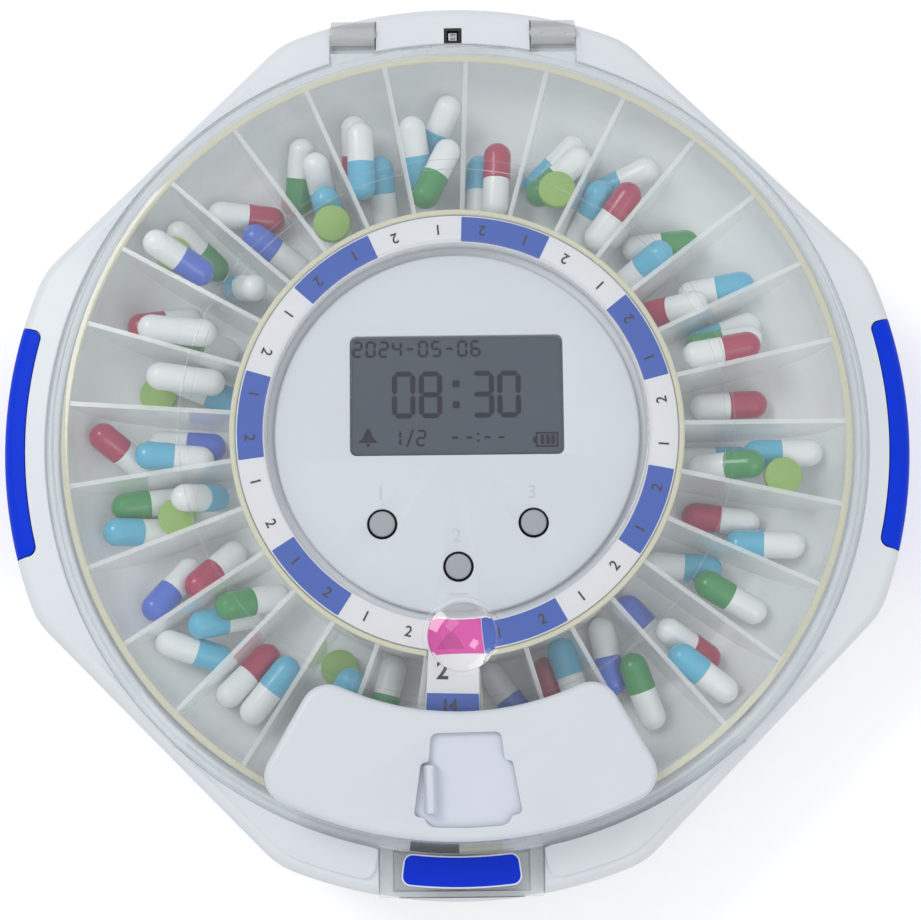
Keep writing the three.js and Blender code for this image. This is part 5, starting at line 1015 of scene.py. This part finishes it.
def settle(x, y, heading, others):
    """The tilt and height at which a capsule lies lowest on the bowl and on the pills below it."""
    best = None
    for degrees in range(-60, 61, 4):
        tilt = radians(degrees)
        spots = []
        for i in range(7):
            s = PILL_HALF * (i - 3) / 3
            level = s * cos(tilt)
            spots.append((x + level * cos(heading), y + level * sin(heading), s * sin(tilt)))
        height = max(resting_height(hypot(px, py), PILL_RADIUS) - rise for px, py, rise in spots)
        for px, py, rise in spots:
            for ox, oy, oz, radius in others:
                reach = PILL_RADIUS + radius
                apart = (px - ox) ** 2 + (py - oy) ** 2
                if apart < reach ** 2:
                    height = max(height, oz + sqrt(reach ** 2 - apart) - rise)
        if best is None or height < best[0] - 1e-6:
            best = (height, tilt, [(px, py, height + rise, PILL_RADIUS) for px, py, rise in spots])
    return best


def capsule(cap_index):
    """A two-part capsule along X: body to the left, wider cap to the right."""
    points = [(BODY_END * sin(t), -PILL_HALF - BODY_END * cos(t)) for t in quarter(8)]
    points += [(BODY_END, 0.3), (PILL_RADIUS, 0.45)]
    points += [(PILL_RADIUS * cos(t), PILL_HALF + PILL_RADIUS * sin(t)) for t in quarter(8)]
    bm = turned(points, 28)
    for face in bm.faces:
        face.material_index = cap_index if face.calc_center_median().z > 0.35 else 0
    return turn(bm, pi / 2, "Y")


def tablet():
    upper = [
        (0, TABLET_HALF), (2.2, TABLET_HALF - 0.15), (3.9, TABLET_HALF - 0.7, 0.2), (TABLET_RADIUS, 1.0, 0.2)]
    bm = turned(upper + [(point[0], -point[1], *point[2:]) for point in reversed(upper)], 32)
    for face in bm.faces:
        face.material_index = 6
    return bm


DOSE_LOOKS = [
    capsule_white, capsule_cyan, capsule_green, capsule_crimson, capsule_blue, capsule_white, tablet_green]
CAP_INDEX = {"cyan": 1, "green": 2, "crimson": 3, "blue": 4, "white": 5}


def lay_tablet(x, y, along, middle, lying):
    """A tablet flat on the floor, on the slope of the scoop or on the pills below it."""
    slope = 0.0
    height = max(resting_height(along + d, 0.1) for d in (-TABLET_REACH, 0, TABLET_REACH)) + TABLET_HALF - 0.1
    if along > 70:
        low, high = resting_height(along - TABLET_REACH, 0.1), resting_height(along + TABLET_REACH, 0.1)
        slope = atan2(high - low, 2 * TABLET_REACH)
        height = (low + high) / 2 + TABLET_HALF + 0.3
    for other_x, other_y, other_z, radius in lying:
        if hypot(x - other_x, y - other_y) < TABLET_RADIUS + radius - 0.6:
            height = max(height, other_z + radius + TABLET_HALF)
    spots = [(x, y, height, TABLET_HALF + 0.6)]
    for a in (0, 1.57, 3.14, 4.71):
        spots.append((x + 2.6 * cos(a), y + 2.6 * sin(a), height, TABLET_HALF))
    return turn(turn(tablet(), -slope, "Y"), middle), height, spots


for pocket, pills in DOSES.items():
    middle = FRONT + REST_TURN + pocket * POCKET_TURN
    parts, lying = [], []
    for kind, along, across, degrees in pills:
        x = along * cos(middle) - across * sin(middle)
        y = along * sin(middle) + across * cos(middle)
        if kind == "tablet":
            pill, height, spots = lay_tablet(x, y, along, middle, lying)
        else:
            heading = middle + radians(degrees) + pi
            height, tilt, spots = settle(x, y, heading, lying)
            pill = turn(turn(capsule(CAP_INDEX[kind]), -tilt, "Y"), heading)
        lying += spots
        parts.append(shift(pill, x, y, height))
    place_piece(as_object(together(parts)), f"doses_{pocket:02d}", DOSE_LOOKS, "tray")

# Lid

def lid_outside(grow=0.0):
    return [
        (LID_RADIUS + grow, 39.3), (LID_RADIUS + grow, 41.3 + grow, 0.4), (96.8 + grow, 41.8 + grow, 0.5),
        (94.8 + grow, 48.0, 0.8), (93.9 + grow, 50.1 + grow, 0.7), (91.8 + grow, 51.0 + grow, 0.8),
        (65.1 + grow, 51.8 + grow, 0.3), (64.8 + grow, 52.9 + grow), (64.5, 53.2 + grow)]


LID_INSIDE = [
    (63.0, 51.4, 0.3), (63.0, 50.0, 0.3), (90.6, 49.2, 0.8), (93.0, 47.1, 0.8), (95.0, 43.3, 0.5),
    (95.9, 39.3)]
collar = [(45.6, 53.2, 0.8), (44.5, 52.9, 0.2), (44.3, 49.3, 0.2), (45.4, 49.3, 0.2), (45.6, 51.4, 0.5)]
lid = as_object(turned(lid_outside() + collar + LID_INSIDE, 240))
lid_room = as_object(turned([(0, 51.4)] + [point[:2] for point in LID_INSIDE] + [(95.9, 1.2), (0, 1.2)], 240))


def hinge_lug(side):
    """The arm at the back with its round eye, seen from the side and drawn out along X."""
    root = 87.0
    points = [(root, 44.6), (HINGE_Y - EYE_RADIUS, HINGE_Z + 3.96, 1.5)]
    for i in range(15):
        a = pi * 0.6 - (pi * 1.1) * i / 14
        points.append((HINGE_Y + EYE_RADIUS * cos(a), HINGE_Z + EYE_RADIUS * sin(a)))
    points += [(HINGE_Y - 2.97, HINGE_Z - 1.65), (HINGE_Y - 4.62, 39.3), (root, 39.3)]
    bm = turn(drawn_out(outline(points), (0, LUG_WIDTH, 0)), pi / 2)
    lug = soften(as_object(shift(bm, side * HINGE_X + LUG_WIDTH / 2)), 0.35, 3, 60)
    return cut(lug, rod(1.7, side * HINGE_X - 20, side * HINGE_X + 20, HINGE_Y, HINGE_Z, 24))


frame_half = 18.9
frame_front = LATCH_FRONT + 0.4
catch = as_object(block(-frame_half, frame_half, frame_front, -77.4, 36.8, 40.2))
cut(catch, disc(98.8, 0, 39.3, facets=240))
window = as_object(block(-frame_half + 3.0, frame_half - 3.0, frame_front + 1.2, -77.4, 0, CUT_TOP))
cut(window, disc(96.9, 39.3, CUT_TOP, facets=240))
cut(catch, window)
for attached in (hinge_lug(1), hinge_lug(-1), catch):
    cut(attached, copy_of(lid_room))
    join(lid, attached)
bpy.data.objects.remove(lid_room)
join(lid, shift(slab(around(9.2, 64, 0), 51.4, 54.0, 0.4), LENS_X, LENS_Y))
for x in (HINGE_X - 3, HINGE_X + 3, -HINGE_X - 3, -HINGE_X + 3):
    join(lid, disc(0.5, HINGE_Z + 2.6, HINGE_Z + 3.55, x, HINGE_Y - 0.6, 16))
door_turn = radians(4.9)
cut(
    lid, disc(7.5, 0, 54.8, LENS_X, LENS_Y, 64), disc(8.3, 52.4, 54.8, LENS_X, LENS_Y, 64),
    slab(sector(71.4, 89.6, REST_TURN - door_turn, REST_TURN + door_turn), 0, 54.8))
paint_faces(lid, 1, lambda c, n: c.y > 97.2 and c.z > 39.6 or c.y > 98.4)
paint_faces(lid, 2, lambda c, n: c.y < -98.2)
place_piece(lid, "clear_lid", [clear_lid, clear_lug, clear_frame], "lid", "clear", ["lid_shell"], sharp=28)

LENS_STEPS, LENS_DOME = 24, 1.4
shares = [i / LENS_STEPS for i in range(LENS_STEPS + 1)]
crown = [(8.0 * s, 54.0 + LENS_DOME * (1 - s ** 2)) for s in shares[:-1]]
belly = [(7.3 * s, 52.7 - LENS_DOME * (1 - s ** 2)) for s in reversed(shares)]
magnifier = turned(crown + [(8.0, 54.0, 0.15), (8.0, 52.7, 0.1)] + belly, 96)
place_piece(as_object(shift(magnifier, LENS_X, LENS_Y)), "magnifier", clear_lens, "lid", "clear", ["lens"])

# Dispensing cover and shutter

COVER_HALF, COVER_WALL = radians(29.6), 1.2
cover = as_object(slab(soft_sector(66.0, 95.2, COVER_HALF, 6.6), 47.8, COVER_TOP, 1.7, 0, 6))
cut(cover, slab(soft_sector(67.8, 92.8, COVER_HALF - 1.8 / 94.2 * 1.2, 4.2), 0, COVER_TOP - COVER_WALL))


def door_half(y):
    """Half the width of the doorway, which widens towards the front."""
    return 7.95 + 1.85 * (-70.8 - y) / 17.6


right = [
    (door_half(-70.8), -70.8, 1.4), (door_half(-77.3), -77.3, 0.7), (door_half(-77.3) + 1.75, -77.3, 0.9),
    (door_half(-89.2) + 2.4, -89.2, 1.1), (9.95, -89.6, 0.6), (8.9, -91.75, 1.6)]
doorway = right + [(0, -92.15)] + [(-x, y, reach) for x, y, reach in reversed(right)]
cut(
    cover, turn(slab(list(reversed(doorway)), 0, 60), SHUTTER_TURN),
    turned([(0, 1.2)] + lid_outside(0.3) + [(0, 53.5)], 240))
soften(cover, 0.25, 2, 50)
place_piece(cover, "dispensing_cover", cover_white, "lid", "white_shell", ["dispense_cover"])

shutter_half = radians(8.9)
plate = as_object(slab(sector(69.4, 92.5, -shutter_half, shutter_half), 52.1, 53.3, 0.15))
ridge = drawn_out(outline([
    (-1.7, 52.7), (1.7, 52.7), (1.55, 54.0, 0.6), (0.85, 56.6, 0.4), (0, 57.0, 0.5), (-0.85, 56.6, 0.4),
    (-1.55, 54.0, 0.6)]), (0, -10.8, 0))
join(plate, soften(as_object(shift(ridge, -8.3, -77.9)), 0.7, 4, 50))
turn_object(plate, SHUTTER_TURN)
place_piece(plate, "shutter_door", shutter_white, "shutter_body", "white_shell", ["shutter"])

# Hinge pins

for side, label in ((1, "right"), (-1, "left")):
    pin = turned([(0, -5.75), (1.4, -5.75, 0.2), (1.4, 5.75, 0.2), (0, 5.75)], 32)
    shift(turn(pin, pi / 2, "Y"), side * HINGE_X, HINGE_Y, HINGE_Z)
    place_piece(as_object(pin), f"hinge_axle_{label}", steel, "housing", "steel", [f"hinge_pin_{label}"])

# Press latch

button_half = frame_half - 3.0 - 0.4
button_front = frame_front + 1.2 + 0.4
press = as_object(block(-button_half, button_half, button_front, -WELL_RADIUS, 38.2, 40.4))
cut(press, disc(99.0, 0, 60, facets=240))
label_turn = 13.3 / 98.9
cut(press, slab(soft_sector(98.6, 106.1, label_turn + 0.003, 2.2), 39.7, CUT_TOP))
soften(press, 0.2, 2)
join(press, disc(2.0, 29.6, 39.3, 0, stem_y, 32))
place_piece(press, "press_latch", clear_latch, "latch", "clear", ["latch_button"])
label = slab(soft_sector(98.65, 106.05, label_turn, 2.2), 40.0, 40.8, 0.15)
place_piece(as_object(label), "latch_label", label_white, "latch", "blue_grip", ["latch_plate"])
field = slab(soft_sector(99.0, 105.7, label_turn - 0.0035, 1.9), 40.7, 40.84)
place_piece(as_object(field), "latch_label_field", label_blue, "latch", "blue_grip")

# A dark strip and a pale strip on the seat of the lid, just behind the latch
for name, look, slot_name, start, end in (
        ("seat_strip_dark", black_plastic, "black", -7.05, -0.3),
        ("seat_strip_pale", seat_cream, "white_shell", -0.2, 5.6)):
    strip = slab(sector(95.9, 98.1, radians(start), radians(end), 8), 38.6, 39.1, 0.1)
    place_piece(as_object(strip), name, look, "housing", slot_name)

wire = bmesh.new()
bmesh.ops.create_circle(wire, cap_ends=True, segments=10, radius=0.4)
shift(turn(wire, pi / 2, "X"), 3.0, 0, 31.2)
COILS = 4
coil_steps = COILS * 28
bmesh.ops.spin(
    wire, geom=list(wire.verts) + list(wire.edges) + list(wire.faces), cent=(0, 0, 0), axis=(0, 0, 1),
    dvec=(0, 0, 6.3 / coil_steps), angle=COILS * TURN, steps=coil_steps, use_merge=False, use_duplicate=False)
bmesh.ops.remove_doubles(wire, verts=wire.verts, dist=1e-4)
bmesh.ops.recalc_face_normals(wire, faces=wire.faces)
spring = as_object(shift(wire, 0, stem_y))
place_piece(spring, "press_spring", steel, "housing", "steel", ["latch_spring"])
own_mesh(spring)

# Socket

liner = as_object(block(-1.9, 1.9, 99.0, 102.8, 35.7, 39.2))
cut(liner, block(-1.4, 1.4, 99.5, 102.3, 36.2, CUT_TOP))
place_piece(liner, "socket_sleeve", black_plastic, "housing", "black", ["socket_liner"])
shell = as_object(slab(panel(-1.1, 1.1, 99.8, 102.0, 0.3), 36.5, 38.7, 0.15))
for side in (1, -1):
    slit_y = 100.9 + side * 0.55
    cut(shell, block(-0.55, 0.55, slit_y - 0.35, slit_y + 0.175, 38.2, CUT_TOP))
place_piece(shell, "socket_contact", steel, "housing", "steel", ["power_socket"])

# Battery door

door = as_object(block(bay_left - 2, bay_right + 2, -BAY_SIDE - 2, BAY_SIDE + 2, 1.3, 3.1))
join(door, block(bay_right, bay_right + 6, -14, 14, 2.2, 3.1))
grooves = [bay_right - 6 - 2.6 * i for i in range(5)]
cut(door, together([block(x - 0.6, x + 0.6, -9, 9, -0.2, 1.93) for x in grooves]))
soften(door, 0.2, 2)
place_piece(door, "bay_door", white_shell, "door", "white_shell", ["battery_door"])

# Floor, light and camera

bm = bmesh.new()
bmesh.ops.create_grid(bm, x_segments=1, y_segments=1, size=6000)
floor = as_object(bm, "floor")
floor_look, tree, out = shader("floor_paper")
matte = add(tree, "BsdfDiffuse", Color=(0.88, 0.88, 0.88, 1))
lift = add(tree, "Emission")
path = add(tree, "LightPath")
seen = maths(tree, "MAXIMUM", path.outputs["Is Camera Ray"], path.outputs["Is Transmission Ray"])
tree.links.new(maths(tree, "MULTIPLY", seen, 0.22), lift.inputs["Strength"])
both = add(tree, "AddShader")
tree.links.new(matte.outputs["BSDF"], both.inputs[0])
tree.links.new(lift.outputs["Emission"], both.inputs[1])
tree.links.new(both.outputs["Shader"], out.inputs["Surface"])
floor.data.materials.append(floor_look)

scene = bpy.context.scene
world = bpy.data.worlds.new("studio")
scene.world = world
world.use_nodes = True
tree = world.node_tree
tree.nodes.clear()
out = add(tree, "OutputWorld")
background = add(tree, "Background")
split = add(tree, "SeparateXYZ")
ramp = add(tree, "ValToRGB")
low, high = ramp.color_ramp.elements
low.position, low.color = 0.0, (0.49, 0.495, 0.505, 1)
high.position, high.color = 0.9, (0.79, 0.795, 0.81, 1)
tree.links.new(add(tree, "TexCoord").outputs["Generated"], split.inputs["Vector"])
tree.links.new(split.outputs["Z"], ramp.inputs["Fac"])
tree.links.new(ramp.outputs["Color"], background.inputs["Color"])
tree.links.new(background.outputs["Background"], out.inputs["Surface"])


def lamp(name, place, width, power):
    """A square soft lamp aimed at the middle of the object."""
    data = bpy.data.lights.new(name, "AREA")
    data.shape = "SQUARE"
    data.size = width
    data.energy = power
    obj = in_scene(name, data)
    obj.location = place
    obj.rotation_euler = (Vector((0, 0, 0.03)) - Vector(place)).to_track_quat("-Z", "Y").to_euler()


lamp("key_lamp", (-0.62, 0.42, 0.95), 0.46, 4.0)
lamp("fill_lamp", (0.55, -0.65, 0.9), 0.7, 2.6)

camera_data = bpy.data.cameras.new("camera")
camera_data.sensor_width = 36
camera_data.lens = 78.63
camera_data.clip_start = 0.01
camera_data.clip_end = 20
camera = in_scene("camera", camera_data)
lean, roll = radians(9.5), radians(0.638)
right_hand = Vector((1, 0, 0))
upward = Vector((0, cos(lean), sin(lean)))
backward = Vector((0, -sin(lean), cos(lean)))
axis_x = right_hand * cos(roll) - upward * sin(roll)
axis_y = right_hand * sin(roll) + upward * cos(roll)
turned_to = Matrix((axis_x, axis_y, backward)).transposed().to_4x4()
target = Vector((0.76, 0, 5.18)) * MM
camera.matrix_world = Matrix.Translation(target + backward * 515.8 * MM) @ turned_to
scene.camera = camera

scene.view_settings.view_transform = "Standard"
scene.cycles.max_bounces = 10
scene.cycles.transmission_bounces = 8
scene.cycles.transparent_max_bounces = 32
